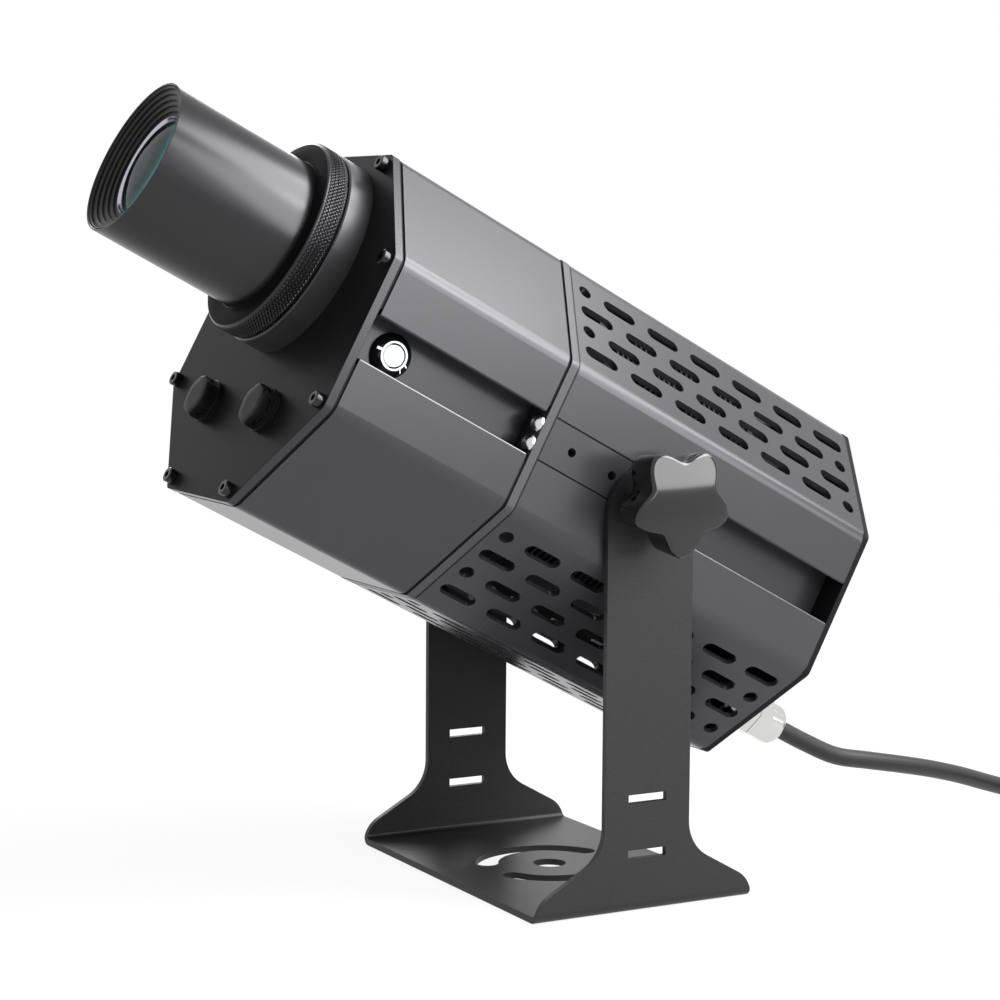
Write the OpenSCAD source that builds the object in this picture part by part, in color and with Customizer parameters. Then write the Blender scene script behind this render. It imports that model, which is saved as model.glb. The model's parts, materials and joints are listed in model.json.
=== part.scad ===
// Gobo projector: a vented octagonal head that tilts in a sheet steel yoke, with its mains cord.
// Millimetres. The origin is the middle of the yoke's base hole, on the surface that the base stands on.
// +X is the side with the power button, -Y is the lens end and +Z is up.

/* [Head] */
// Width across the head's two side faces
body_w = 170; // [164:1:180]
// Height across the head's top and bottom faces
body_h = 172; // [166:1:182]
// Height of the slanted corner faces, measured up the side
corner_cut = 50; // [46:1:54]
// Wall of the two extruded housings
wall = 3; // [2.5:0.1:3.5]
// Outer rounding of the housings' long edges
edge_r = 9; // [6:0.5:10]
// Rounding of the plates' corners
plate_r = 4; // [2:0.5:8]
// Length of the plain front housing
front_len = 92.4; // [88:0.2:100]
// Length of the vented rear housing
rear_len = 180; // [172:1:195]
// Thickness of the front plate
front_plate_t = 4; // [3:0.5:5]
// Thickness of the plate between the two housings
mid_plate_t = 4; // [3:0.5:5]
// Thickness of the rear plate
rear_plate_t = 3; // [2:0.5:4]
// Thickness of the two rubber gaskets
gasket_t = 1.6; // [1:0.1:2]
// How far each gasket's edge lies inside the head's outline
gasket_inset = 1; // [0.5:0.1:1.5]

/* [Side grooves] */
// Width of the groove's mouth in the side face
groove_w = 20.6; // [18:0.2:22]
// Width of the groove behind its lips
groove_in_w = 26.4; // [25:0.2:28]
// Depth of the groove from the side face to its floor
groove_d = 15; // [14:0.5:17]
// Bevel on the groove's two lips
groove_bevel = 0.6; // [0.3:0.1:1]
// Length of the flush bar behind the mid plate
bar_len = 45.7; // [40:0.1:46]
// Length of the sliding nut that each knob screws into
tnut_len = 28; // [20:1:28]

/* [Vents] */
// Width of a vent slot, and diameter of the round vent that ends each row
vent_w = 7; // [5:0.5:8]
// Length of a vent slot from end to end
vent_len = 19.2; // [16:0.2:21]
// Metal left between one vent and the next along a row
vent_gap = 8; // [6:0.5:10]
// Distance from one row of vents to the next
vent_row = 14; // [12:0.5:15]
// Rows of vents on each vented face
vent_rows = 4; // [2:1:4]

/* [Lens] */
// Height of the lens axis above the head's middle
lens_v = 33; // [31:0.5:34]
// Radius of the lens barrel
barrel_r = 36.7; // [34:0.1:37.5]
// Length of the lens barrel
barrel_len = 113; // [105:1:120]
// How far the barrel's mouth stands in front of the front plate
barrel_out = 95.4; // [88:0.2:100]
// Radius of the smooth collar and of the knurled focus ring
collar_r = 47.5; // [45:0.5:49]
// Thickness of the smooth collar in front of the plate
collar_t = 12.4; // [10:0.2:16]
// Thickness of the focus ring
ring_t = 11; // [9:0.5:14]
// Radius of the lenses in the barrel
lens_r = 31.4; // [29:0.2:31.8]
// Depth of the stepped funnel between the barrel's mouth and the front lens
funnel_depth = 8; // [7:0.5:12]
// Radius of the front lens that the funnel leaves free
lens_clear_r = 24.3; // [22:0.1:26]
// How far the barrel runs out or in from rest when the ring is turned
focus_travel = 9; // [6:0.5:9]

/* [Yoke] */
// Thickness of the yoke's sheet steel
sheet_t = 3; // [2:0.5:4]
// Width of the arms
arm_w = 45.5; // [40:0.5:50]
// Length of the base from front to back
base_l = 116; // [105:1:125]
// Inside radius of the bends between the base and the arms
bend_r = 2; // [1:0.5:4]
// Height of the tilt axis above the floor
pivot_z = 191.5; // [190:0.5:205]
// How far the arms rise above the tilt axis
arm_over = 14.6; // [12:0.2:20]
// Tilt of the head above level as it is set in the photograph
tilt = 27.9; // [20:0.1:35]
// Radius of the concave flare at the foot of each arm
flare_r = 20; // [16:1:24]
// Radius of the rounded corner below the flare
foot_r = 14.5; // [12:0.5:16]
// Radius of the hole in the middle of the base
base_hole_r = 8; // [6:0.5:10]
// Middle radius of the two curved slots in the base
arc_slot_r = 30.7; // [28:0.5:34]
// Width of the two curved slots
arc_slot_w = 11; // [9:0.5:13]
// Half the angle that each curved slot's middle line spans
arc_slot_a = 64; // [50:1:68]
// Length of the strap slots in the arms
strap_w = 20.4; // [16:0.2:26]
// Height of the strap slots
strap_h = 4; // [3:0.2:5]
// Heights of the two strap slots above the floor
strap_low = 27.2; // [26:0.2:32]
// Height of the upper strap slot above the floor
strap_high = 53; // [45:0.5:60]

/* [Knobs] */
// Radius over the lobes of a knob
knob_r = 25.3; // [22:0.1:28]
// Depth of the hollows between the lobes
knob_wave = 7.3; // [4:0.1:8]
// Thickness of the lobed part of a knob
knob_t = 18; // [14:0.5:22]
// Height of the domed face above the lobes' edge
knob_dome = 5; // [3:0.5:7]
// Lobes on a knob
knob_lobes = 5; // [5:1:7]
// Radius of the clamping stud
stud_r = 4; // [3:0.5:5]

/* [Fasteners] */
// Radius of the screws in the plates
screw_r = 2; // [1.5:0.1:2.2]
// Radius of a socket cap head
head_r = 3.5; // [3.2:0.1:3.8]
// Height of a socket cap head
head_h = 4; // [2.5:0.5:4.5]
// Radius of the domed heads in the side grooves
dome_head_r = 4.3; // [3.8:0.1:4.5]
// Distance from a plate's edges to the screws at its corners
screw_inset = 5.5; // [5.3:0.1:6]
// Radius of the breather plugs' threads
plug_thread_r = 6; // [5:0.5:7]
// Width across the flats of the breather plugs
plug_af = 18; // [16:0.5:20]

/* [Power button] */
// Distance from the button's middle to the back of the front gasket
button_u = 19; // [17:0.5:30]
// Radius of the button's mounting thread
button_thread_r = 8; // [7:0.5:8.5]
// Radius of the button's bezel
button_bezel_r = 9.9; // [9.4:0.1:10.2]
// Radius of the moving cap
button_cap_r = 5.4; // [4.5:0.1:6]
// Travel of the cap
button_travel = 1.5; // [1:0.1:2]

/* [Cord] */
// Diameter of the mains cord
cord_d = 9; // [8:0.1:9.2]
// Turns in the coil that puts the spare length away
coil_turns = 4.25; // [2.25:1:5.25]

/* [Hidden] */

$fn = 64;
// Clearances between pieces
slide_gap = 0.3;
run_gap = 0.05;
thread_gap = 0.05;
hole_gap = 0.2;
arm_gap = 1;
eps = 0.01;

// Stations along the head, measured forwards from the tilt axis
mid_u = bar_len + tnut_len / 2 + slide_gap;
rear_u = mid_u - rear_len;
back_u = rear_u - rear_plate_t;
mid_gasket_u = mid_u + mid_plate_t;
front_u = mid_gasket_u + gasket_t;
front_gasket_u = front_u + front_len;
plate_u = front_gasket_u + gasket_t;
face_u = plate_u + front_plate_t;
mouth_u = face_u + barrel_out;
tail_u = mouth_u - barrel_len;

// Half sizes of the head
half_w = body_w / 2;
half_h = body_h / 2;
corner_sum = half_w + half_h - corner_cut;
floor_x = half_w - groove_d;
lip_x = half_w - wall;
channel_v = groove_in_w / 2 + wall;
boss_r = screw_inset - 1.2;
bore_r = screw_r + thread_gap;

// Yoke
arm_in = half_w + arm_gap;
arm_out = arm_in + sheet_t;
disc_t = arm_gap - slide_gap;
disc_r = 14;
washer_t = 1.5;
washer_r = 12;
hub_r = 12;
hub_t = 6;
arm_top = pivot_z + arm_over;
foot_y = base_l / 2 - foot_r;

// Lens mount
neck_r = barrel_r + run_gap + 4.3;
ring_flange = 3;
ring_back = face_u + collar_t + slide_gap;
spigot_r = barrel_r + run_gap + 5;
spigot_len = 14;
key_w = 3;
key_d = 1.2;
pin_u = face_u + collar_t / 2;
spanner_r = 1.8;
spanner_v = barrel_r + 2.4;
collar_screw_r = spigot_r + 3.1;
spanner_a = 75;

// Light engine
engine_v = 14;
fin_half = 61;
fin_cut = 26;
fin_t = 1;
fin_pitch = 3.2;
fin_count = 28;
sink_base_t = 6;
post_len = 24;
sink_u = mid_u - post_len;
fins_back = sink_u - sink_base_t - fin_pitch * fin_count;
pipe_r = 3;
post_r = 3.5;
post_x = 48;
post_v = 36;
fan_half = 46;
fan_t = 25.4;
fan_hole = 41.25;
fan_r = 44;
fan_front = fins_back;
condenser_r = 27;
condenser_t = 3;
condenser_len = 46;
gobo_r = 18.75;
gobo_t = 1.1;
holder_t = 8;
driver_w = 76;
driver_h = 46;
driver_len = 66;
driver_v = -half_h + wall + 9;
driver_screw_x = 30;
driver_screw_v = [driver_v + 8, driver_v + driver_h - 8];

// Gland and plugs
gland_x = 42;
gland_v = -60;
gland_af = 20;
gland_thread_r = 8;
gland_hex_t = 7;
gland_dome_len = 19.2;
gland_fillet = 4;
plug_x = 32;
plug_v = -42;
plug_flange_r = 10.5;
plug_hex_t = 6.3;
plug_turn = 40;

// Cord
cord_r = cord_d / 2;
tie_t = 0.8;
cord_gap = 0.6;
coil_z = cord_r + tie_t + slide_gap;
coil_step = cord_d + cord_gap;
coil_in_r = 36.5;
coil_r = coil_in_r + coil_step * coil_turns / 2;
coil_start = [10, 340];
coil_mid = [coil_start[0] + coil_r, coil_start[1]];
loop_rings = 24;

// The free stretch's points as chosen, and what share of a shift of the gland each one follows
gland_tip = head_point(gland_x, back_u - gland_hex_t - gland_dome_len - 0.1, gland_v);
gland_shift = gland_tip - [42, 103.9, 68.4];
lead_chosen = [[42, 122, 59], [42, 140, 51], [41, 161, 46.5], [39, 183, 42], [36, 205, 37], [32, 227, 31],
    [27, 249, 24], [22, 271, 17.2], [17, 291, 11.2], [12.4, 309, 7]];
lead_points = concat([gland_tip], [for (i = [0:len(lead_chosen) - 1])
    lead_chosen[i] + gland_shift * max(1 - i * 0.2, 0)], [[10, 321, coil_z], [10, 331, coil_z]]);

// Moves a piece drawn along the level head, with its tilt axis at the origin, to its tilted place
module in_head() {
    translate([0, 0, pivot_z]) rotate([-tilt, 0, 0]) children();
}

// Carries a section, drawn in the x and v directions, along the head from u0 to u1
module span(u0, u1) {
    translate([0, -u0, 0]) rotate([90, 0, 0]) linear_extrude(height = u1 - u0) children();
}

// Stands a piece drawn along +Z on the point (x, v) at u, pointing forwards
module at(x, v, u) {
    translate([x, -u, v]) rotate([90, 0, 0]) children();
}

// Repeats a piece on both sides of the head, the far side being the near one mirrored
module both_sides() {
    children();
    mirror([1, 0, 0]) children();
}

// Corners of the head's outline, drawn in by an inset, from the near side's lower corner and upwards
function oct_w(inset) = half_w - inset;
function oct_h(inset) = half_h - inset;
function oct_s(inset) = corner_sum - inset * sqrt(2);
function oct_side(inset) = oct_s(inset) - oct_w(inset);
function oct_top(inset) = oct_s(inset) - oct_h(inset);
function octagon(inset) = [[oct_w(inset), -oct_side(inset)], [oct_w(inset), oct_side(inset)],
    [oct_top(inset), oct_h(inset)], [-oct_top(inset), oct_h(inset)],
    [-oct_w(inset), oct_side(inset)], [-oct_w(inset), -oct_side(inset)],
    [-oct_top(inset), -oct_h(inset)], [oct_top(inset), -oct_h(inset)]];

function unit(p) = p / norm(p);
function head_point(x, u, v) = [x, v * sin(tilt) - u * cos(tilt), pivot_z + u * sin(tilt) + v * cos(tilt)];
function box_points(x0, y0, x1, y1) = [[x0, y0], [x1, y0], [x1, y1], [x0, y1]];

// Half the angle at corner i of an outline, and the way from that corner into the outline
function half_angle(p, i) = let (m = len(p), a = unit(p[(i + m - 1) % m] - p[i]), b = unit(p[(i + 1) % m] - p[i]))
    acos(a * b) / 2;
function inwards(p, i) = let (m = len(p), a = unit(p[(i + m - 1) % m] - p[i]), b = unit(p[(i + 1) % m] - p[i]))
    unit(a + b);

// A convex outline with its corners rounded to radius r
module soft_outline(p, r) {
    m = len(p);
    polygon([for (i = [0:m - 1], j = [m - 1, 1])
        p[i] + unit(p[(i + j) % m] - p[i]) * r / tan(half_angle(p, i))]);
    for (i = [0:m - 1]) translate(p[i] + inwards(p, i) * r / sin(half_angle(p, i))) circle(r = r);
}

// A ring swept round each point of a route, one unbroken tube
function route_dir(p, i) = unit(p[min(i + 1, len(p) - 1)] - p[max(i - 1, 0)]);
function ring_at(p, i, r, n) = let (d = route_dir(p, i), s = unit(cross(d, [0, 0, 1])), u = cross(s, d))
    [for (k = [0:n - 1]) p[i] + r * (s * sin(360 * k / n) - u * cos(360 * k / n))];
module tube(p, r, n) {
    m = len(p);
    points = [for (i = [0:m - 1]) each ring_at(p, i, r, n)];
    sides = [for (i = [0:m - 2], k = [0:n - 1]) let (a = i * n + k, b = i * n + (k + 1) % n)
        each [[a, b, b + n], [a, b + n, a + n]]];
    caps = [for (k = [1:n - 2]) each [[0, k + 1, k], [(m - 1) * n, (m - 1) * n + k, (m - 1) * n + k + 1]]];
    polyhedron(points = points, faces = concat(sides, caps));
}

// Section of both housings: an octagonal tube with a lipped groove in each side and screw bosses in its corners
module housing_section() {
    difference() {
        soft_outline(octagon(0), edge_r);
        difference() {
            soft_outline(octagon(wall), max(edge_r - wall, 0.5));
            both_sides() translate([floor_x - wall, -channel_v]) square([groove_d + wall, 2 * channel_v]);
            for (p = octagon(screw_inset)) translate(p) circle(r = boss_r);
        }
        both_sides() {
            translate([floor_x, -groove_in_w / 2]) square([lip_x - floor_x, groove_in_w]);
            translate([floor_x, -groove_w / 2]) square([groove_d + eps, groove_w]);
            polygon([[half_w - groove_bevel, -groove_w / 2], [half_w + eps, -groove_w / 2 - groove_bevel],
                [half_w + eps, groove_w / 2 + groove_bevel], [half_w - groove_bevel, groove_w / 2]]);
        }
        for (p = octagon(screw_inset)) translate(p) circle(r = bore_r, $fn = 24);
    }
}

module plate_section() {
    difference() {
        soft_outline(octagon(0), plate_r);
        for (p = octagon(screw_inset)) translate(p) circle(r = screw_r + hole_gap, $fn = 24);
    }
}

// The countersinks for flush screws in a plate whose back is at u
module screw_sinks(u) {
    for (p = octagon(screw_inset))
        at(p[0], p[1], u - eps) cylinder(r1 = head_r + hole_gap, r2 = screw_r + hole_gap, h = 2.2, $fn = 32);
}

// A gasket follows the housing's wall and bosses and leaves the groove's mouth free
module gasket_section() {
    difference() {
        soft_outline(octagon(gasket_inset), edge_r - 1);
        difference() {
            soft_outline(octagon(wall), max(edge_r - wall, 0.5));
            both_sides() translate([floor_x - wall, -channel_v]) square([groove_d + wall, 2 * channel_v]);
            for (p = octagon(screw_inset)) translate(p) circle(r = boss_r);
        }
        both_sides() translate([floor_x, -groove_in_w / 2]) square([groove_d + wall, groove_in_w]);
        for (p = octagon(screw_inset)) translate(p) circle(r = screw_r + hole_gap, $fn = 24);
    }
}

// One vent: a slot with round ends, or a round hole where its length is its width
module vent(length) {
    run = length - vent_w;
    if (run > 0) translate([-run / 2, -vent_w / 2]) square([run, vent_w]);
    for (s = [-1, 1]) translate([s * run / 2, 0]) circle(r = vent_w / 2, $fn = 24);
}

// One face's vents, centred, with +X forwards. Rows take turns in having their round vent in front or behind.
vent_pitch = vent_len + vent_gap;
vent_count = floor((rear_len - vent_gap - vent_w) / vent_pitch);
vent_run = vent_count * vent_pitch + vent_w;
module vent_field() {
    for (row = [0:vent_rows - 1]) {
        side = row % 2 == 0 ? 1 : -1;
        translate([0, (row - (vent_rows - 1) / 2) * vent_row]) {
            translate([side * (vent_run - vent_w) / 2, 0]) vent(vent_w);
            for (k = [0:vent_count - 1])
                translate([side * (vent_run / 2 - vent_w - vent_gap - vent_len / 2 - vent_pitch * k), 0])
                    vent(vent_len);
        }
    }
}

// The vented faces: the middle of each, and the angle of its normal. The two side faces have none.
slant_mid = [(half_w + oct_top(0)) / 2, (half_h + oct_side(0)) / 2];
vent_faces = [[slant_mid[0], slant_mid[1], 45], [0, half_h, 90], [-slant_mid[0], slant_mid[1], 135],
    [-slant_mid[0], -slant_mid[1], 225], [0, -half_h, 270], [slant_mid[0], -slant_mid[1], 315]];
module vent_cuts() {
    for (f = vent_faces)
        translate([f[0], -(rear_u + mid_u) / 2, f[1]]) rotate([0, 90 - f[2], 0]) rotate([0, 0, -90])
            translate([0, 0, -wall - 1]) linear_extrude(height = wall + 2) vent_field();
}

// Screws, drawn with the underside of the head at the origin and the shank down -Z
module dome(r, h) {
    big = (r * r + h * h) / (2 * h);
    intersection() {
        translate([0, 0, h - big]) sphere(r = big);
        cylinder(r = r, h = h + 1);
    }
}
module cap_screw(length) {
    difference() {
        union() {
            rotate_extrude() polygon([[0, 0], [head_r, 0], [head_r, head_h - 0.4], [head_r - 0.4, head_h], [0, head_h]]);
            translate([0, 0, -length]) cylinder(r = screw_r, h = length + eps, $fn = 24);
        }
        translate([0, 0, head_h / 2]) cylinder(r = 1.75, h = head_h, $fn = 6);
    }
}
module domed_screw(length) {
    difference() {
        union() {
            dome(dome_head_r, 0.85 * dome_head_r);
            translate([0, 0, -length]) cylinder(r = screw_r, h = length + eps, $fn = 24);
        }
        translate([0, 0, 0.85 * dome_head_r - 1.6]) cylinder(r = 1.45, h = 2, $fn = 6);
    }
}
module flush_screw(length) {
    difference() {
        union() {
            translate([0, 0, -2.2]) cylinder(r1 = screw_r, r2 = head_r, h = 2.2, $fn = 32);
            translate([0, 0, -length]) cylinder(r = screw_r, h = length - 2, $fn = 24);
        }
        translate([0, 0, -1.3]) cylinder(r = 1.3, h = 2, $fn = 6);
    }
}

// Yoke: the bent U of sheet steel, cut to the arms' outline
module u_outline(half, low, r) {
    translate([-half, low + r]) square([2 * half, arm_top + 1 - low]);
    translate([r - half, low]) square([2 * (half - r), r + 1]);
    for (s = [-1, 1]) translate([s * (half - r), low + r]) circle(r = r);
}
module yoke_section() {
    difference() {
        u_outline(arm_out, 0, bend_r + sheet_t);
        u_outline(arm_in, sheet_t, bend_r);
    }
}

// The arms' outline: a round top, concave flares and a rounded foot, joined by the tangent between the two arcs
flare_c = [arm_w / 2 + flare_r, 2 * flare_r];
foot_c = [foot_y, 0];
flare_gap = flare_c - foot_c;
flare_lean = atan2(flare_gap[1], flare_gap[0]) - acos((flare_r + foot_r) / norm(flare_gap));
lean = [cos(flare_lean), sin(flare_lean)];
module half_arm() {
    translate([0, -2]) square([arm_w / 2, arm_top - arm_w / 2 + 2]);
    difference() {
        union() {
            polygon([[0, -2], [foot_y + foot_r, -2], [foot_y + foot_r, 0], foot_c + foot_r * lean,
                flare_c - flare_r * lean, [arm_w / 2, 2 * flare_r], [0, 2 * flare_r]]);
            translate(foot_c) circle(r = foot_r);
        }
        translate(flare_c) circle(r = flare_r);
    }
}
module arm_outline() {
    both_sides() half_arm();
    translate([0, arm_top - arm_w / 2]) circle(r = arm_w / 2);
}
module yoke_bracket() {
    color("#2b2c30") difference() {
        rotate([90, 0, 0]) translate([0, 0, -base_l]) linear_extrude(height = 2 * base_l) yoke_section();
        difference() {
            translate([-2 * arm_out, -base_l, -1]) cube([4 * arm_out, 2 * base_l, arm_top + 10]);
            rotate([90, 0, 90]) translate([0, 0, -2 * arm_out]) linear_extrude(height = 4 * arm_out) arm_outline();
        }
        translate([0, 0, -1]) cylinder(r = base_hole_r, h = sheet_t + 2);
        translate([0, 0, -1]) linear_extrude(height = sheet_t + 2) both_sides() arc_slot();
        translate([-2 * arm_out, 0, pivot_z]) rotate([0, 90, 0]) cylinder(r = stud_r + run_gap, h = 4 * arm_out);
        for (z = [strap_low, strap_high])
            translate([-2 * arm_out, -strap_w / 2, z - strap_h / 2]) cube([4 * arm_out, strap_w, strap_h]);
    }
}
module arc_slot() {
    reach = 2 * arc_slot_r;
    intersection() {
        difference() {
            circle(r = arc_slot_r + arc_slot_w / 2);
            circle(r = arc_slot_r - arc_slot_w / 2);
        }
        polygon([[0, 0], reach * [cos(arc_slot_a), -sin(arc_slot_a)], [2 * reach, -reach], [2 * reach, reach],
            reach * [cos(arc_slot_a), sin(arc_slot_a)]]);
    }
    for (s = [-1, 1])
        translate(arc_slot_r * [cos(arc_slot_a), s * sin(arc_slot_a)]) circle(r = arc_slot_w / 2, $fn = 32);
}

// Things on the tilt axis, drawn for the near side along +X
module on_tilt_axis(x) {
    translate([x, 0, pivot_z]) rotate([0, 90, 0]) children();
}
module ring(r_in, r_out, t) {
    difference() {
        cylinder(r = r_out, h = t);
        translate([0, 0, -1]) cylinder(r = r_in, h = t + 2);
    }
}
module friction_discs() {
    color("#17181a") both_sides() on_tilt_axis(arm_in - disc_t) ring(stud_r + hole_gap, disc_r, disc_t);
}
module knob_washers() {
    color("#b9bbbe") both_sides() on_tilt_axis(arm_out) ring(stud_r + hole_gap, washer_r, washer_t);
}
knob_x = arm_out + washer_t + slide_gap;
stud_in = floor_x + slide_gap + 2;
stud_out = knob_x + hub_t + knob_t - 6;

// The lobed outline swings between the lobes and the hollows as a cosine, with a lobe pointing down
knob_outline = [for (a = [0:5:355]) (knob_r - knob_wave / 2 + knob_wave / 2 * cos(knob_lobes * a)) * [cos(a), sin(a)]];
module knob() {
    full = hub_t + knob_t;
    face_r = knob_r + 1;
    big = (face_r * face_r + knob_dome * knob_dome) / (2 * knob_dome);
    difference() {
        union() {
            cylinder(r = hub_r, h = hub_t + eps);
            intersection() {
                translate([0, 0, hub_t]) linear_extrude(height = knob_t + knob_dome) polygon(knob_outline);
                cylinder(r1 = knob_r - 4, r2 = knob_r + 8, h = knob_t + knob_dome + hub_t);
                translate([0, 0, full + knob_dome - big]) sphere(r = big);
            }
        }
        translate([0, 0, -1]) cylinder(r = stud_r + thread_gap, h = stud_out - knob_x + 1 + slide_gap);
    }
}
module near_knob() {
    color("#101113") on_tilt_axis(knob_x) knob();
}
module far_knob() {
    color("#101113") mirror([1, 0, 0]) on_tilt_axis(knob_x) knob();
}
module stud() {
    on_tilt_axis(stud_in) cylinder(r = stud_r, h = stud_out - stud_in);
}
module near_stud() {
    color("#8d9094") stud();
}
module far_stud() {
    color("#8d9094") mirror([1, 0, 0]) stud();
}

// Section of the pieces that fill a side groove: a wide foot behind the lips and a neck flush with the side face
module groove_fill() {
    foot = groove_in_w / 2 - slide_gap;
    neck = groove_w / 2 - slide_gap;
    translate([floor_x + slide_gap, -foot]) square([lip_x - floor_x - 2 * slide_gap, 2 * foot]);
    translate([floor_x + slide_gap, -neck]) square([groove_d - slide_gap, 2 * neck]);
}
module sliding_nuts() {
    color("#26272a") in_head() both_sides() difference() {
        span(-tnut_len / 2, tnut_len / 2) groove_fill();
        translate([floor_x - 1, 0, 0]) rotate([0, 90, 0]) cylinder(r = stud_r + run_gap, h = groove_d + 2);
    }
}
bar_screw_x = half_w - dome_head_r - 0.4;
bar_screw_v = 4.9;
grub_r = 2.1;
grub_first = 15;
grub_next = 38.7;
module bar_screw_places() {
    for (s = [-1, 1]) translate([bar_screw_x, s * bar_screw_v]) children();
}
module groove_bars() {
    color("#303136") in_head() both_sides() difference() {
        span(mid_u - bar_len, mid_u) groove_fill();
        span(mid_u - 12, mid_u + 1) bar_screw_places() circle(r = bore_r, $fn = 24);
        for (d = [grub_first, grub_next])
            translate([floor_x - 1, d - mid_u, 0]) rotate([0, 90, 0]) cylinder(r = grub_r, h = groove_d + 2, $fn = 24);
    }
}
module bar_end_screws() {
    color("#c9cbce") in_head() both_sides() for (s = [-1, 1])
        at(bar_screw_x, s * bar_screw_v, mid_gasket_u) domed_screw(mid_plate_t + 10);
}
module bar_grub_screws() {
    color("#3a3b3e") in_head() both_sides() for (d = [grub_first, grub_next])
        translate([floor_x, d - mid_u, 0]) rotate([0, 90, 0]) difference() {
            cylinder(r = grub_r - thread_gap, h = 6, $fn = 24);
            translate([0, 0, 4]) cylinder(r = 1.1, h = 3, $fn = 6);
        }
}

// Front of the head
module front_plate() {
    color("#222327") in_head() difference() {
        span(plate_u, face_u) plate_section();
        at(0, lens_v, plate_u - 1) cylinder(r = spigot_r + hole_gap, h = front_plate_t + 2);
        for (s = [-1, 1])
            at(s * plug_x, plug_v, plate_u - 1) cylinder(r = plug_thread_r + hole_gap, h = front_plate_t + 2);
        for (a = [45:90:315]) at(0, lens_v, plate_u - 1) rotate([0, 0, a]) translate([collar_screw_r, 0, 0])
            cylinder(r = 1.7, h = front_plate_t + 2, $fn = 24);
    }
}
module front_gasket() {
    color("#0c0c0d") in_head() span(front_gasket_u, plate_u) gasket_section();
}
module front_plate_screws() {
    color("#1b1c1e") in_head() for (p = octagon(screw_inset)) at(p[0], p[1], face_u) cap_screw(16);
}
seal_t = 1;
module breather_seals() {
    color("#0c0c0d") in_head() for (s = [-1, 1])
        at(s * plug_x, plug_v, face_u) ring(plug_thread_r + hole_gap, plug_flange_r - 0.7, seal_t);
}
// A breather plug: thread, round flange and a hexagon with a slot in each of its flats
module breather_plug() {
    thread_len = seal_t + front_plate_t + 9;
    difference() {
        union() {
            translate([0, 0, -thread_len]) cylinder(r = plug_thread_r, h = thread_len + eps);
            cylinder(r = plug_flange_r, h = 1.6);
            intersection() {
                translate([0, 0, 1.5]) rotate([0, 0, plug_turn]) cylinder(r = plug_af / sqrt(3), h = plug_hex_t, $fn = 6);
                translate([0, 0, 1.5]) cylinder(r1 = plug_af / sqrt(3) + 3, r2 = plug_af / 2 + 0.4, h = plug_hex_t);
            }
        }
        for (a = [30:60:330]) rotate([0, 0, a + plug_turn]) translate([plug_af / 2 - 1.2, -3, 3]) cube([3, 6, 1.8]);
    }
}
module breather_plugs() {
    color("#141518") in_head() for (s = [-1, 1]) at(s * plug_x, plug_v, face_u + seal_t) breather_plug();
}
module breather_nuts() {
    color("#1d1e21") in_head() for (s = [-1, 1]) at(s * plug_x, plug_v, plate_u - 5) difference() {
        cylinder(r = plug_thread_r + 4, h = 5, $fn = 6);
        translate([0, 0, -1]) cylinder(r = plug_thread_r + thread_gap, h = 7);
    }
}
button_mid = front_gasket_u - button_u;
button_hole_r = button_thread_r + hole_gap;
module front_housing() {
    color("#2e2f34") in_head() difference() {
        span(front_u, front_gasket_u) housing_section();
        translate([floor_x - wall - 1, -button_mid, 0]) rotate([0, 90, 0]) cylinder(r = button_hole_r, h = wall + 2);
    }
}

// Power button, drawn along +X from the groove's floor
button_len = 22;
bezel_t = 4.2;
module on_button(x) {
    in_head() translate([floor_x + x, -button_mid, 0]) rotate([0, 90, 0]) children();
}
module button_body() {
    well_r = button_cap_r + run_gap + 0.05;
    well = 4.5 + button_travel;
    color("#16171a") on_button(0) difference() {
        union() {
            translate([0, 0, -button_len]) cylinder(r = button_thread_r, h = button_len + eps);
            rotate_extrude() polygon([[0, 0], [button_bezel_r, 0], [button_bezel_r, 1.2],
                [button_bezel_r - 0.8, 2.2], [button_cap_r + 1.3, bezel_t], [0, bezel_t]]);
        }
        translate([0, 0, bezel_t - well]) cylinder(r = well_r, h = well + 1);
    }
}
module button_cap() {
    rise = 0.1 + button_travel;
    color("#f4f6f8") on_button(0) rotate_extrude() polygon([[0, bezel_t - 4], [button_cap_r, bezel_t - 4],
        [button_cap_r, bezel_t + rise - 0.6], [button_cap_r - 0.6, bezel_t + rise], [0, bezel_t + rise + 0.3]]);
}
module button_nut() {
    color("#c0c2c5") on_button(-wall - 3.5) difference() {
        cylinder(r = button_thread_r + 3.3, h = 3.5, $fn = 6);
        translate([0, 0, -1]) cylinder(r = button_thread_r + thread_gap, h = 6);
    }
}

// Middle of the head
module mid_gasket() {
    color("#0c0c0d") in_head() span(mid_gasket_u, front_u) gasket_section();
}
module mid_plate() {
    color("#2a2b2f") in_head() difference() {
        span(mid_u, mid_gasket_u) plate_section();
        screw_sinks(mid_u);
        at(0, lens_v, mid_u - 1) cylinder(r = condenser_r, h = mid_plate_t + 2);
        span(mid_u - 1, mid_gasket_u + 1) both_sides() bar_screw_places() circle(r = screw_r + hole_gap, $fn = 24);
        for (x = [-post_x, post_x], v = [-post_v, post_v])
            at(x, engine_v + v, mid_u - 1) cylinder(r = 1.6, h = mid_plate_t + 2, $fn = 24);
        span(mid_u - 1, mid_gasket_u + 1) driver_screw_places() circle(r = 1.7, $fn = 24);
        for (a = [0:120:240]) on_lens_axis_level(mid_u - 1, a, tube_screw_r)
            cylinder(r = 1.55, h = mid_plate_t + 2, $fn = 24);
    }
}
module mid_plate_screws() {
    color("#1b1c1e") in_head() for (p = octagon(screw_inset))
        translate([p[0], -mid_u, p[1]]) rotate([-90, 0, 0]) flush_screw(16);
}

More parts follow.
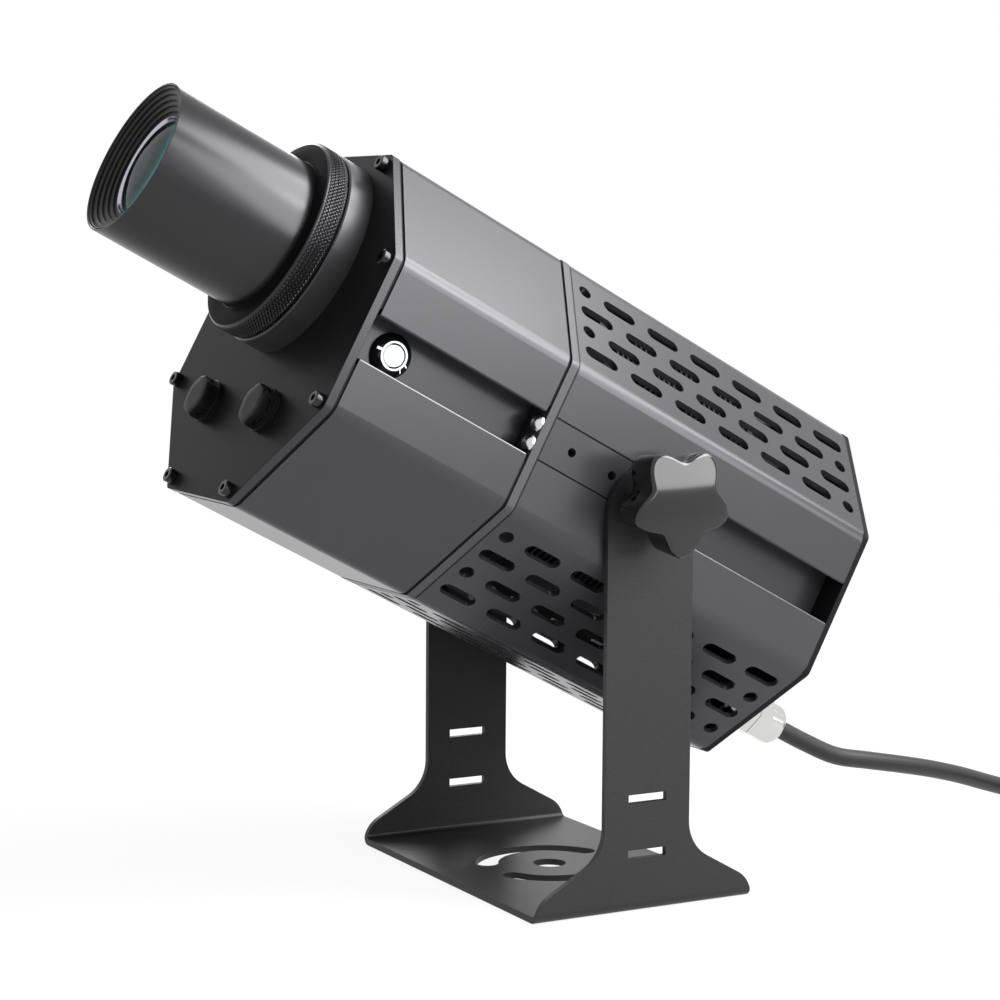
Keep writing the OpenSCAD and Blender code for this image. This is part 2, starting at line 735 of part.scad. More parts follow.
// Rear of the head
module rear_housing() {
    color("#2e2f34") in_head() difference() {
        span(rear_u, mid_u) housing_section();
        vent_cuts();
    }
}
module rear_plate() {
    color("#26272b") in_head() difference() {
        span(back_u, rear_u) plate_section();
        at(gland_x, gland_v, back_u - 1) cylinder(r = gland_thread_r + hole_gap, h = rear_plate_t + 2);
        screw_sinks(back_u);
    }
}
module rear_plate_screws() {
    color("#1b1c1e") in_head() for (p = octagon(screw_inset))
        translate([p[0], -back_u, p[1]]) rotate([-90, 0, 0]) flush_screw(14);
}

// Cable gland, drawn along +Z away from the rear plate
module at_gland(d) {
    in_head() translate([gland_x, -back_u + d, gland_v]) rotate([-90, 0, 0]) children();
}
gland_bore_r = 6.4;
seal_out = gland_hex_t + gland_dome_len;
module gland_body() {
    color("#d7d9db") at_gland(0) difference() {
        union() {
            translate([0, 0, -rear_plate_t - 9]) cylinder(r = gland_thread_r, h = rear_plate_t + 9 + eps);
            cylinder(r = gland_af / 2 + 1.2, h = 1.2);
            translate([0, 0, 1.1]) cylinder(r = gland_af / sqrt(3), h = gland_hex_t - 1.4, $fn = 6);
            cylinder(r = gland_thread_r, h = gland_hex_t + 6);
        }
        translate([0, 0, -rear_plate_t - 10]) cylinder(r = gland_bore_r, h = 40);
    }
}
module gland_nut() {
    color("#d7d9db") at_gland(gland_hex_t) difference() {
        union() {
            cylinder(r = gland_af / sqrt(3), h = 8, $fn = 6);
            rotate_extrude() {
                translate([0, 7]) square([gland_af / 2, gland_dome_len - gland_fillet - 7.5]);
                square([gland_af / 2 - gland_fillet, gland_dome_len - 0.5]);
                intersection() {
                    translate([gland_af / 2 - gland_fillet, gland_dome_len - gland_fillet - 0.5])
                        circle(r = gland_fillet);
                    square([gland_af, gland_dome_len]);
                }
            }
        }
        translate([0, 0, -1]) cylinder(r = gland_thread_r + thread_gap, h = 8);
        translate([0, 0, -1]) cylinder(r = cord_r + 0.9, h = gland_dome_len + 2);
    }
}
module gland_seal() {
    color("#1a1a1c") at_gland(gland_hex_t + 6.1) union() {
        cylinder(r = gland_thread_r - 0.2, h = 0.8);
        cylinder(r = cord_r + 0.8, h = gland_dome_len - 6.3);
    }
}
module gland_locknut() {
    color("#d7d9db") at_gland(-rear_plate_t - 4) difference() {
        rotate([0, 0, 15]) cylinder(r = 11.5, h = 4, $fn = 6);
        translate([0, 0, -1]) cylinder(r = gland_thread_r + thread_gap, h = 6);
    }
}

// Lens mount, drawn forwards along the lens axis
module on_lens_axis(u) {
    in_head() at(0, lens_v, u) children();
}
guide_r = barrel_r + run_gap;
module lens_collar() {
    neck = ring_t - ring_flange - 0.2;
    color("#1d1e21") on_lens_axis(face_u) difference() {
        union() {
            rotate_extrude() polygon([[0, 0], [collar_r, 0], [collar_r, collar_t - 0.6], [collar_r - 0.6, collar_t],
                [0, collar_t]]);
            cylinder(r = neck_r, h = collar_t + slide_gap + neck);
            translate([0, 0, -spigot_len]) cylinder(r = spigot_r, h = spigot_len + eps);
        }
        translate([0, 0, -spigot_len - 1]) cylinder(r = guide_r, h = spigot_len + collar_t + ring_t + 2);
        translate([0, 0, collar_t / 2]) rotate([0, -90, 0]) cylinder(r = 1.6, h = collar_r + 1, $fn = 24);
        for (a = [45:90:315]) rotate([0, 0, a]) translate([collar_screw_r, 0, -1]) cylinder(r = 1.55, h = 9, $fn = 24);
    }
}
module collar_screws() {
    color("#1b1c1e") on_lens_axis(plate_u) for (a = [45:90:315]) rotate([0, 0, a])
        translate([collar_screw_r, 0, 0]) mirror([0, 0, 1]) union() {
            dome(2.6, 1.6);
            translate([0, 0, -front_plate_t - 6]) cylinder(r = 1.5, h = front_plate_t + 6 + eps, $fn = 24);
        }
}
module guide_pin() {
    tip = barrel_r - key_d + 0.2;
    color("#8d9094") on_lens_axis(pin_u) rotate([0, -90, 0]) translate([0, 0, tip])
        cylinder(r = 1.5, h = collar_r - 1 - tip, $fn = 24);
}
// The focus ring turns on the collar's neck and grips the barrel's thread with its front flange
module focus_ring() {
    color("#202125") on_lens_axis(ring_back) difference() {
        rotate_extrude() polygon([[0, 0], [collar_r - 1, 0], [collar_r, 0.8], [collar_r, ring_t - 0.8],
            [collar_r - 1, ring_t], [0, ring_t]]);
        translate([0, 0, -1]) cylinder(r = neck_r + run_gap, h = ring_t - ring_flange + 1);
        translate([0, 0, -1]) cylinder(r = barrel_r + 2 * run_gap, h = ring_t + 2);
        for (a = [spanner_a, spanner_a + 180]) rotate([0, 0, a]) translate([spanner_v, 0, ring_t - 2])
            cylinder(r = spanner_r, h = 3, $fn = 24);
    }
}
// The barrel: a seat for each lens, a wide mouth for the funnel, and a key slot that the guide pin stops
funnel_steps = 5;
funnel_lip = 1.5;
mouth_wall = 1.1;
funnel_r = barrel_r - mouth_wall;
lens_rim = 5;
lens_front = barrel_len - funnel_depth - funnel_lip;
seat_z = lens_front - lens_rim;
module lens_barrel() {
    bore = lens_r + run_gap;
    key_len = 2 * focus_travel + key_w + 1;
    color("#1c1d20") on_lens_axis(tail_u) difference() {
        cylinder(r = barrel_r, h = barrel_len);
        translate([0, 0, lens_front - 0.1]) cylinder(r = funnel_r, h = barrel_len);
        translate([0, 0, seat_z]) cylinder(r = bore, h = lens_rim + 1);
        translate([0, 0, -1]) cylinder(r = lens_r - 1.6, h = barrel_len);
        translate([0, 0, -1]) cylinder(r = bore, h = rear_seat + 1);
        rotate([0, -90, 0]) translate([pin_u - tail_u - key_len / 2, -key_w / 2 - run_gap, barrel_r - key_d])
            cube([key_len, key_w + 2 * run_gap, key_d + 1]);
    }
}
// A lens as a turned solid with a flat rim: its radius and that of its domes, and the rises of front and back
lens_flat = 2.6;
module lens(r, dome_r, rim, front, back) {
    cylinder(r = r, h = rim);
    translate([0, 0, rim - eps]) dome(dome_r, front + eps);
    translate([0, 0, eps]) mirror([0, 0, 1]) dome(dome_r, back + eps);
}
module front_lens() {
    color("#bcd8e2", 0.5) on_lens_axis(tail_u + seat_z) lens(lens_r, lens_clear_r - 0.3, lens_rim, 6.5, 1.8);
}
// The funnel screws into the mouth and holds the front lens down. Its steps break up stray light.
module front_lens_ring() {
    funnel_len = funnel_lip + funnel_depth - 0.6;
    step_r = (funnel_r - 1 - lens_clear_r) / funnel_steps;
    step_z = (funnel_len - funnel_lip) / funnel_steps;
    color("#141517") on_lens_axis(tail_u + lens_front) difference() {
        cylinder(r = funnel_r - run_gap, h = funnel_len);
        translate([0, 0, -1]) cylinder(r = lens_clear_r, h = funnel_len + 2);
        for (k = [1:funnel_steps])
            translate([0, 0, funnel_lip + step_z * (k - 1)]) cylinder(r = lens_clear_r + step_r * k, h = funnel_len);
    }
}
rear_seat = 14;
module rear_lens() {
    color("#bcd8e2", 0.5) on_lens_axis(tail_u + rear_seat - lens_rim) lens(lens_r, lens_r - lens_flat, lens_rim, 2, 5);
}
module rear_lens_ring() {
    color("#141517") on_lens_axis(tail_u + rear_seat - lens_rim - 4) ring(lens_r - 2.5, lens_r, 4);
}

// Light engine, from the heat sink forwards to the gobo
tube_screw_r = condenser_r + condenser_t + 3.5;
module on_lens_axis_level(u, a, r) {
    at(0, lens_v, u) rotate([0, 0, a]) translate([r, 0, 0]) children();
}
tube_shoulder = 8;
condenser_rim = 4;
spacer_len = 15;
second_z = tube_shoulder + condenser_rim + spacer_len;
holder_spigot = condenser_len - second_z - condenser_rim;
module condenser_tube() {
    color("#33353a") in_head() difference() {
        at(0, lens_v, mid_gasket_u) {
            cylinder(r = condenser_r + condenser_t + 7, h = 3);
            cylinder(r = condenser_r + condenser_t, h = condenser_len);
        }
        at(0, lens_v, mid_gasket_u + tube_shoulder) cylinder(r = condenser_r + run_gap, h = condenser_len);
        at(0, lens_v, mid_gasket_u - 1) cylinder(r = condenser_r - 2, h = tube_shoulder + 2);
        for (a = [0:120:240]) on_lens_axis_level(mid_gasket_u - 1, a, tube_screw_r)
            cylinder(r = 1.7, h = 5, $fn = 24);
    }
}
module condenser_lenses() {
    color("#cfe0e6", 0.5) on_lens_axis(mid_gasket_u) {
        translate([0, 0, tube_shoulder]) lens(condenser_r, condenser_r - lens_flat, condenser_rim, 5, 5);
        translate([0, 0, second_z]) lens(condenser_r, condenser_r - lens_flat, condenser_rim, 5, 5);
    }
}
module condenser_spacer() {
    color("#141517") on_lens_axis(mid_gasket_u + second_z - spacer_len) ring(condenser_r - 2, condenser_r, spacer_len);
}
module gobo_holder() {
    color("#33353a") on_lens_axis(mid_gasket_u + condenser_len) difference() {
        union() {
            cylinder(r = condenser_r + condenser_t, h = holder_t);
            translate([0, 0, -holder_spigot]) cylinder(r = condenser_r, h = holder_spigot + eps);
        }
        translate([0, 0, -holder_spigot - 1]) cylinder(r = condenser_r - 2.2, h = holder_spigot + 1);
        translate([0, 0, -1]) cylinder(r = gobo_r - 1.5, h = holder_t + 2);
        translate([0, 0, 3]) cylinder(r = gobo_r + 0.3, h = holder_t);
    }
}
// The gobo's pattern is a plain ring of slots round a hexagon
module gobo() {
    color("#9fa2a6") on_lens_axis(mid_gasket_u + condenser_len + 3) difference() {
        cylinder(r = gobo_r, h = gobo_t);
        translate([0, 0, -1]) cylinder(r = 5, h = gobo_t + 2, $fn = 6);
        for (a = [0:45:315]) rotate([0, 0, a]) translate([8.5, -1.2, -1]) cube([5, 2.4, gobo_t + 2]);
    }
}
module gobo_clip() {
    color("#8d9094") on_lens_axis(mid_gasket_u + condenser_len + 3 + gobo_t) difference() {
        ring(gobo_r - 1.5, gobo_r + 0.1, 1.2);
        translate([gobo_r - 4, -3, -1]) cube([8, 6, 4]);
    }
}
module light_reflector() {
    color("#c9cccf") on_lens_axis(sink_u + 3.4) rotate_extrude() polygon([[11, 0], [condenser_r - 3, post_len - 4.6],
        [condenser_r - 1, post_len - 4.6], [14, 0]]);
}
module led_module() {
    color("#e4d9a0") on_lens_axis(sink_u) union() {
        translate([-19, -19, 0]) cube([38, 38, 1.8]);
        cylinder(r = 15, h = 3.4);
    }
}
module fin_section() {
    s = fin_half - fin_cut;
    polygon([[fin_half, -s], [fin_half, s], [s, fin_half], [-s, fin_half], [-fin_half, s], [-fin_half, -s],
        [-s, -fin_half], [s, -fin_half]]);
}
// The heat sink: a base plate and a stack of fins soldered on heat pipes
module heat_sink() {
    color("#9a9da1") in_head() translate([0, 0, engine_v]) {
        difference() {
            span(sink_u - sink_base_t, sink_u) fin_section();
            for (x = [-post_x, post_x], v = [-post_v, post_v])
                at(x, v, sink_u - sink_base_t - 1) cylinder(r = 1.6, h = sink_base_t + 2, $fn = 24);
        }
        for (k = [1:fin_count - 1])
            span(sink_u - sink_base_t - k * fin_pitch - fin_t, sink_u - sink_base_t - k * fin_pitch) fin_section();
        difference() {
            span(fins_back, fins_back + 2) fin_section();
            for (x = [-fan_hole, fan_hole], v = [-fan_hole, fan_hole])
                at(x, v, fins_back - 1) cylinder(r = 1.6, h = 4, $fn = 24);
        }
        for (x = [-42, -14, 14, 42]) span(fins_back + 1, sink_u - 1) translate([x, 0]) circle(r = pipe_r, $fn = 24);
    }
}
module heat_sink_posts() {
    color("#b9bbbe") in_head() for (x = [-post_x, post_x], v = [-post_v, post_v])
        at(x, engine_v + v, sink_u) union() {
            cylinder(r = post_r, h = post_len, $fn = 6);
            translate([0, 0, -sink_base_t]) cylinder(r = 1.5, h = post_len + sink_base_t + mid_plate_t, $fn = 24);
        }
}
module fan_frame() {
    hub = 17;
    color("#17181a") in_head() translate([0, 0, engine_v]) {
        difference() {
            span(fan_front - fan_t, fan_front)
                soft_outline(box_points(-fan_half, -fan_half, fan_half, fan_half), 4);
            at(0, 0, fan_front - fan_t + 3) cylinder(r = fan_r, h = fan_t);
            at(0, 0, fan_front - fan_t - 1) difference() {
                cylinder(r = fan_r, h = 5);
                translate([0, 0, -1]) cylinder(r = hub, h = 7);
                for (a = [45:90:315]) rotate([0, 0, a]) translate([0, -2.5, -1]) cube([fan_r + 1, 5, 7]);
            }
            for (x = [-fan_hole, fan_hole], v = [-fan_hole, fan_hole])
                at(x, v, fan_front - fan_t - 1) cylinder(r = 2.1, h = fan_t + 2, $fn = 24);
            at(0, 0, fan_front - fan_t - 1) cylinder(r = 2 + run_gap, h = fan_t);
        }
    }
}
blades = 7;
module fan_rotor() {
    depth = 16;
    color("#202124") in_head() at(0, engine_v, fan_front - fan_t + 4) union() {
        cylinder(r = 19, h = depth);
        translate([0, 0, -4]) cylinder(r = 2, h = 5, $fn = 24);
        intersection() {
            ring(18, fan_r - 1.5, depth);
            for (a = [0:360 / blades:359]) rotate([0, 0, a]) translate([18, 0, depth / 2]) rotate([42, 0, 0])
                translate([-2, -1, -12]) cube([fan_r, 2, 24]);
        }
    }
}
// Small screws inside the head: the fan's, the driver's and the condenser tube's
module small_screw(length) {
    dome(2.8, 2);
    translate([0, 0, -length]) cylinder(r = 1.5, h = length + eps, $fn = 24);
}
module inner_screws() {
    color("#b9bbbe") in_head() {
        for (x = [-fan_hole, fan_hole], v = [-fan_hole, fan_hole])
            translate([x, fan_t - fan_front, engine_v + v]) rotate([-90, 0, 0]) small_screw(fan_t + 2);
        for (x = [-driver_screw_x, driver_screw_x], v = driver_screw_v)
            translate([x, -mid_u, v]) rotate([-90, 0, 0]) small_screw(mid_plate_t + 6);
        for (a = [0:120:240]) on_lens_axis_level(mid_gasket_u + 3, a, tube_screw_r) small_screw(3 + mid_plate_t);
    }
}
module driver_screw_places() {
    for (x = [-driver_screw_x, driver_screw_x], v = driver_screw_v) translate([x, v]) children();
}
module led_driver() {
    color("#b4b7ba") in_head() difference() {
        translate([-driver_w / 2, -mid_gasket_u - driver_len, driver_v]) cube([driver_w, driver_len, driver_h]);
        span(mid_gasket_u - 1, mid_gasket_u + 7) driver_screw_places() circle(r = 1.55, $fn = 24);
    }
}

// Mains cord: the free stretch, the coil, its tie and the plug
module cord_lead() {
    color("#1a1b1d") tube(lead_points, cord_r, 10);
}
// The coil winds in to its middle turn and out again one layer up, climbing in the half turn between
coil_mid_turn = coil_turns / 2;
function coil_climb(t) = let (k = min(max((t - coil_mid_turn) * 2 + 0.5, 0), 1)) coil_step * k * k * (3 - 2 * k);
function coil_point(t) = let (a = 180 - 360 * t, r = coil_in_r + coil_step * abs(t - coil_mid_turn))
    [coil_mid[0] + r * cos(a), coil_mid[1] + r * sin(a), coil_z + coil_climb(t)];
coil_count = round(coil_turns * loop_rings);
coil_turned = [for (i = [0:coil_count]) coil_point(i / loop_rings)];
coil_points = concat([coil_turned[0] - [0, cord_d, 0]], coil_turned, [coil_turned[coil_count] + [cord_d, 0, 0]]);
coil_least = min([for (i = [0:coil_count], j = [0:coil_count]) if (j > i + loop_rings / 2)
    norm(coil_turned[i] - coil_turned[j])]) - cord_d;
function run_length(p) = len(p) < 2 ? 0 : norm(p[1] - p[0]) + run_length([for (i = [1:len(p) - 1]) p[i]]);
echo(coil_least_gap = coil_least, cord_length = run_length(lead_points) + run_length(coil_points));
module cord_coil() {
    color("#1a1b1d") tube(coil_points, cord_r, 6);
}
tie_w = 14;
module cord_tie() {
    slack = 1;
    inner = box_points(coil_in_r - cord_r - slack, tie_t, coil_r + cord_r + slack, tie_t + 2 * cord_d + 2 * cord_gap);
    outer = box_points(coil_in_r - cord_r - slack - tie_t, 0, coil_r + cord_r + slack + tie_t,
        2 * tie_t + 2 * cord_d + 2 * cord_gap);
    color("#0e0e10") translate([coil_mid[0], coil_mid[1], 0]) rotate([0, 0, -40]) rotate([90, 0, 0])
        translate([0, 0, -tie_w / 2]) linear_extrude(height = tie_w) difference() {
            soft_outline(outer, 3);
            soft_outline(inner, 2.2);
        }
}
plug_start = coil_points[coil_count + 2];
plug_axis_z = plug_start[2];
relief_len = 32;
plug_len = 30;
plug_half_w = 12.5;
module at_plug(x) {
    translate(plug_start + [x, 0, 0]) rotate([0, 90, 0]) children();
}
module mains_plug() {
    color("#18191b") difference() {
        union() {
            at_plug(0) cylinder(r1 = cord_r + 1.2, r2 = cord_r + 4, h = relief_len);
            at_plug(relief_len) linear_extrude(height = plug_len)
                soft_outline(box_points(-plug_axis_z, -plug_half_w, plug_axis_z, plug_half_w), 4);
        }
        for (k = [0:4]) at_plug(5 + 5 * k) ring(cord_r + 0.9, 2 * cord_d, 1.6);
    }
}
module plug_pins() {
    tip = relief_len + plug_len;
    color("#c8b26a") {
        for (s = [-1, 1]) translate(plug_start + [tip, s * 6.35 - 0.75, 0]) cube([17, 1.5, 6.4]);
        at_plug(tip) translate([8.6, 0, 0]) union() {
            cylinder(r = 2.4, h = 19, $fn = 32);
            translate([0, 0, 19 - eps]) dome(2.4, 2);
        }
    }
}

yoke_bracket();
friction_discs();
knob_washers();
near_knob();
near_stud();
far_knob();
far_stud();
sliding_nuts();
front_plate();
front_gasket();
front_plate_screws();
breather_plugs();
breather_seals();
breather_nuts();
front_housing();
button_body();
button_cap();
button_nut();
mid_gasket();
mid_plate();
mid_plate_screws();
groove_bars();
bar_end_screws();
bar_grub_screws();
rear_housing();
rear_plate();
rear_plate_screws();
gland_body();
gland_nut();
gland_seal();
gland_locknut();
lens_collar();
collar_screws();
guide_pin();
focus_ring();
lens_barrel();
front_lens();
front_lens_ring();
rear_lens();
rear_lens_ring();
gobo_holder();
gobo();
gobo_clip();
condenser_tube();
condenser_lenses();
condenser_spacer();
light_reflector();
led_module();
heat_sink();
heat_sink_posts();
fan_frame();
fan_rotor();
inner_screws();
led_driver();
cord_lead();
cord_coil();
cord_tie();
mains_plug();
plug_pins();
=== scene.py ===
"""Looks of the gobo projector: a vented octagonal head on a sheet steel yoke, with its lens barrel and cord.

The scene is in metres. Sub-assemblies hold their sizes in millimetres, and their points are scaled by MM.
Points on the head are given as x to the side, u forwards and v upwards of its tilt axis, and HeadFrame turns
them into the shared frame.
"""

from __future__ import annotations

import json
import logging
import math
from abc import ABC, abstractmethod
from dataclasses import dataclass, field
from enum import Enum
from typing import Sequence

import bmesh
import bpy
import numpy as np
from mathutils import Matrix, Vector

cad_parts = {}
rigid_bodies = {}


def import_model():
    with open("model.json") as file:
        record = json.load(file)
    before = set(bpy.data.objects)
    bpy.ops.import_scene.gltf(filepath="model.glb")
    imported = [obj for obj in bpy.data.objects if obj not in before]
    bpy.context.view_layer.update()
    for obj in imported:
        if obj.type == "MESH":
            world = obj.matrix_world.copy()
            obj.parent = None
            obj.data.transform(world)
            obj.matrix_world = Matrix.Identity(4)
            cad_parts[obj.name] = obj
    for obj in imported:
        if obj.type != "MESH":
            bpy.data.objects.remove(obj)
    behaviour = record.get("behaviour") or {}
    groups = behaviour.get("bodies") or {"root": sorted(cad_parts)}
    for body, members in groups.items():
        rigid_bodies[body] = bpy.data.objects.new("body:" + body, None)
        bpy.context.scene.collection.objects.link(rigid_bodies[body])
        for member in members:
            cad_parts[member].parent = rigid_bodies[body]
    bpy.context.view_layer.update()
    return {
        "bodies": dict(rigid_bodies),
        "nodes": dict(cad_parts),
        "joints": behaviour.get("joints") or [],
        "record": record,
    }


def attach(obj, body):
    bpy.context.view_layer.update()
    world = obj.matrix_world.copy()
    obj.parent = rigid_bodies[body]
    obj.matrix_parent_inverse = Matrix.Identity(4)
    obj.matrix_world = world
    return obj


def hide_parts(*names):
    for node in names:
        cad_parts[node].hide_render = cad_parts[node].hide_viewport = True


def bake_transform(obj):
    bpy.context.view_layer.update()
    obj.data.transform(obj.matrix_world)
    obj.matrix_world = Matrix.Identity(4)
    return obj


LOG = logging.getLogger("gobo_projector")
MM = 0.001
TURN = 2.0 * math.pi
GRAIN_HEIGHT = 0.4 * MM
Colour = tuple[float, float, float]
Given = float | Sequence[float] | bpy.types.NodeSocket


class Body(str, Enum):
    """The bodies that pieces ride on, as the record names them."""

    YOKE = "yoke"
    HEAD = "head"
    RING = "ring"
    BARREL = "barrel"
    BUTTON = "button"
    NEAR_CLAMP = "near_clamp"
    FAR_CLAMP = "far_clamp"


@dataclass(frozen=True)
class Axis:
    """A line that pieces are turned about: a point on it, its direction and the direction of angle 0."""

    point: tuple[float, float, float]
    along: tuple[float, float, float]
    side: tuple[float, float, float]

    def cylinder_point(self, angle: np.ndarray, radius: np.ndarray, along: np.ndarray) -> np.ndarray:
        """Points at an angle and a radius about the line.

        A point is the line's point, plus the distance along it, plus the radius times the cosine on the
        side's direction and the sine on the direction square to both.

        Args:
            angle: angles in radians.
            radius: distances from the line.
            along: distances along the line.

        Returns:
            An array of points of the arguments' common shape, with the last axis of length 3.
        """
        a, s = np.array(self.along), np.array(self.side)
        t = np.cross(a, s)
        angle, radius, along = np.broadcast_arrays(angle, radius, along)
        return (np.array(self.point) + along[..., None] * a
                + radius[..., None] * (np.cos(angle)[..., None] * s + np.sin(angle)[..., None] * t))


@dataclass(frozen=True)
class HeadFrame:
    """Where the head stands: the height of its tilt axis, its tilt above level and its lens axis's height."""

    pivot_z: float = 191.5 * MM
    tilt: float = math.radians(27.9)
    lens_v: float = 33 * MM

    def place(self, x: np.ndarray | float, u: np.ndarray | float, v: np.ndarray | float) -> np.ndarray:
        """Turns head points into points of the shared frame.

        Args:
            x: sideways, towards the power button.
            u: forwards along the head from the tilt axis.
            v: upwards across the head from the tilt axis.

        Returns:
            An array of points, with the last axis of length 3. y is v sin t - u cos t, and z is the axis's
            height plus u sin t + v cos t.
        """
        cos, sin = math.cos(self.tilt), math.sin(self.tilt)
        x, u, v = np.broadcast_arrays(x, u, v)
        return np.stack([x, v * sin - u * cos, self.pivot_z + u * sin + v * cos], axis=-1)

    def forwards(self) -> np.ndarray:
        """The direction that the lens looks in."""
        return np.array([0.0, -math.cos(self.tilt), math.sin(self.tilt)])

    def axis_at(self, x: float, u: float, v: float) -> Axis:
        """A line along the head through a head point, with angle 0 towards the power button's side."""
        return Axis(tuple(self.place(x, u, v)), tuple(self.forwards()), (1.0, 0.0, 0.0))


HEAD = HeadFrame()


def lens_axis() -> Axis:
    """The lens axis, measured along u from the tilt axis, with angle 0 towards the power button's side."""
    return HEAD.axis_at(0.0, 0.0, HEAD.lens_v)


# Meshes


def make_mesh(name: str, points: np.ndarray, faces: np.ndarray | list,
              sharp: float = 35.0) -> bpy.types.Object:
    """Makes an object of points and faces, merges its doubles and turns its faces outwards.

    Args:
        name: the piece's name.
        points: an array of points, one a row.
        faces: rows of point numbers.
        sharp: edges that fold more than this many degrees stay sharp.

    Returns:
        The object, smooth shaded, at the origin.
    """
    mesh = bpy.data.meshes.new(name)
    mesh.from_pydata(points.reshape(-1, 3), [], faces)
    shape = bmesh.new()
    shape.from_mesh(mesh)
    bmesh.ops.remove_doubles(shape, verts=shape.verts, dist=1e-6)
    bmesh.ops.dissolve_degenerate(shape, edges=shape.edges, dist=1e-7)
    bmesh.ops.recalc_face_normals(shape, faces=shape.faces)
    shape.to_mesh(mesh)
    shape.free()
    mesh.polygons.foreach_set("use_smooth", np.ones(len(mesh.polygons), dtype=bool))
    mesh.set_sharp_from_angle(angle=math.radians(sharp))
    obj = bpy.data.objects.new(name, mesh)
    bpy.context.scene.collection.objects.link(obj)
    return obj


def grid_faces(rows: int, columns: int, close_rows: bool, close_columns: bool, first: int = 0) -> np.ndarray:
    """Quads of a grid of points, row by row.

    Args:
        rows: rows of points.
        columns: points in a row.
        close_rows: the last row joins the first.
        close_columns: each row's last point joins its first.
        first: the number of the grid's first point.

    Returns:
        Rows of four point numbers.
    """
    i = np.arange(rows if close_rows else rows - 1)[:, None]
    j = np.arange(columns if close_columns else columns - 1)[None, :]
    a = i * columns + j
    b = i * columns + (j + 1) % columns
    c = ((i + 1) % rows) * columns + (j + 1) % columns
    d = ((i + 1) % rows) * columns + j
    return first + np.stack([a, b, c, d], axis=-1).reshape(-1, 4)


def turned(name: str, axis: Axis, profile: Sequence[tuple[float, float]] | np.ndarray, steps: int,
           closed: bool = True) -> bpy.types.Object:
    """Turns a profile about an axis: each point is (distance along, radius).

    Args:
        name: the piece's name.
        axis: the line that it is turned about.
        profile: the section's points, in millimetres.
        steps: points round a turn.
        closed: the section is a closed loop, as of a ring. An open one starts and ends on the axis.

    Returns:
        The object.
    """
    section = np.array(profile, dtype=float) * MM
    angle = np.linspace(0, TURN, steps, endpoint=False)
    points = axis.cylinder_point(angle[None, :], section[:, 1][:, None], section[:, 0][:, None])
    return make_mesh(name, points, grid_faces(len(section), steps, closed, True))


def tube(name: str, path: np.ndarray, radius: float, sides: int) -> bpy.types.Object:
    """Carries a circle along a path, square to it, and closes its ends.

    The circle's first direction is the level one square to the path, so it never twists on a path that isn't
    upright.

    Args:
        name: the piece's name.
        path: the middle line's points, one a row.
        radius: the circle's radius.
        sides: points round the circle.

    Returns:
        The object.
    """
    along = np.gradient(path, axis=0)
    along /= np.linalg.norm(along, axis=1)[:, None]
    level = np.cross(along, [0.0, 0.0, 1.0])
    level /= np.linalg.norm(level, axis=1)[:, None]
    lift = np.cross(level, along)
    angle = np.linspace(0, TURN, sides, endpoint=False)
    rings = path[:, None, :] + radius * (np.cos(angle)[None, :, None] * level[:, None, :]
                                         + np.sin(angle)[None, :, None] * lift[:, None, :])
    count = len(path) * sides
    faces = grid_faces(len(path), sides, False, True).tolist()
    faces += [list(range(sides)), list(range(count - sides, count))]
    return make_mesh(name, rings, faces, 50.0)


# Finishes


class Graph:
    """A node tree, with short ways to add its nodes and to give them their inputs."""

    def __init__(self, tree: bpy.types.NodeTree) -> None:
        """Works on this tree."""
        self.tree = tree

    def feed(self, node: bpy.types.Node, inputs: dict[str | int, Given]) -> None:
        """Gives a node its inputs: a socket is joined to the input, and a plain value is set.

        Args:
            node: the node.
            inputs: what each input is given, by the input's name or number.
        """
        for key, given in inputs.items():
            if isinstance(given, bpy.types.NodeSocket):
                self.tree.links.new(given, node.inputs[key])
            else:
                node.inputs[key].default_value = given

    def node(self, kind: str, inputs: dict[str | int, Given], **settings: object) -> bpy.types.Node:
        """Adds a node.

        Args:
            kind: the shader node's kind, such as TexNoise.
            inputs: what its inputs are given.
            settings: its settings.

        Returns:
            The node.
        """
        made = self.tree.nodes.new(f"ShaderNode{kind}")
        for key, value in settings.items():
            setattr(made, key, value)
        self.feed(made, inputs)
        return made

    def math(self, operation: str, first: Given, second: Given, clamp: bool = False) -> bpy.types.NodeSocket:
        """Adds a sum, a product or the like of two numbers.

        Args:
            operation: what is done to them.
            first: the first number.
            second: the second number.
            clamp: the result is kept between 0 and 1.

        Returns:
            The result's socket.
        """
        return self.node("Math", {0: first, 1: second}, operation=operation, use_clamp=clamp).outputs[0]

    def place(self) -> bpy.types.NodeSocket:
        """A socket with the object's own coordinates."""
        return self.node("TexCoord", {}).outputs["Object"]


class Group(Graph):
    """A shader node group with named inputs and outputs.

    Attributes:
        given: the sockets that carry its inputs into the group.
        result: the node that its outputs are fed to.
    """

    def __init__(self, name: str, inputs: dict[str, tuple[str, Given]], outputs: dict[str, str]) -> None:
        """Starts the group.

        Args:
            name: the group's name.
            inputs: each input's kind and default by name.
            outputs: each output's kind by name.
        """
        super().__init__(bpy.data.node_groups.new(name, "ShaderNodeTree"))
        sockets = self.tree.interface
        for key, (kind, value) in inputs.items():
            made = sockets.new_socket(name=key, in_out="INPUT", socket_type=f"NodeSocket{kind}")
            made.default_value = value
        for key, kind in outputs.items():
            sockets.new_socket(name=key, in_out="OUTPUT", socket_type=f"NodeSocket{kind}")
        self.given = self.tree.nodes.new("NodeGroupInput").outputs
        self.result = self.tree.nodes.new("NodeGroupOutput")


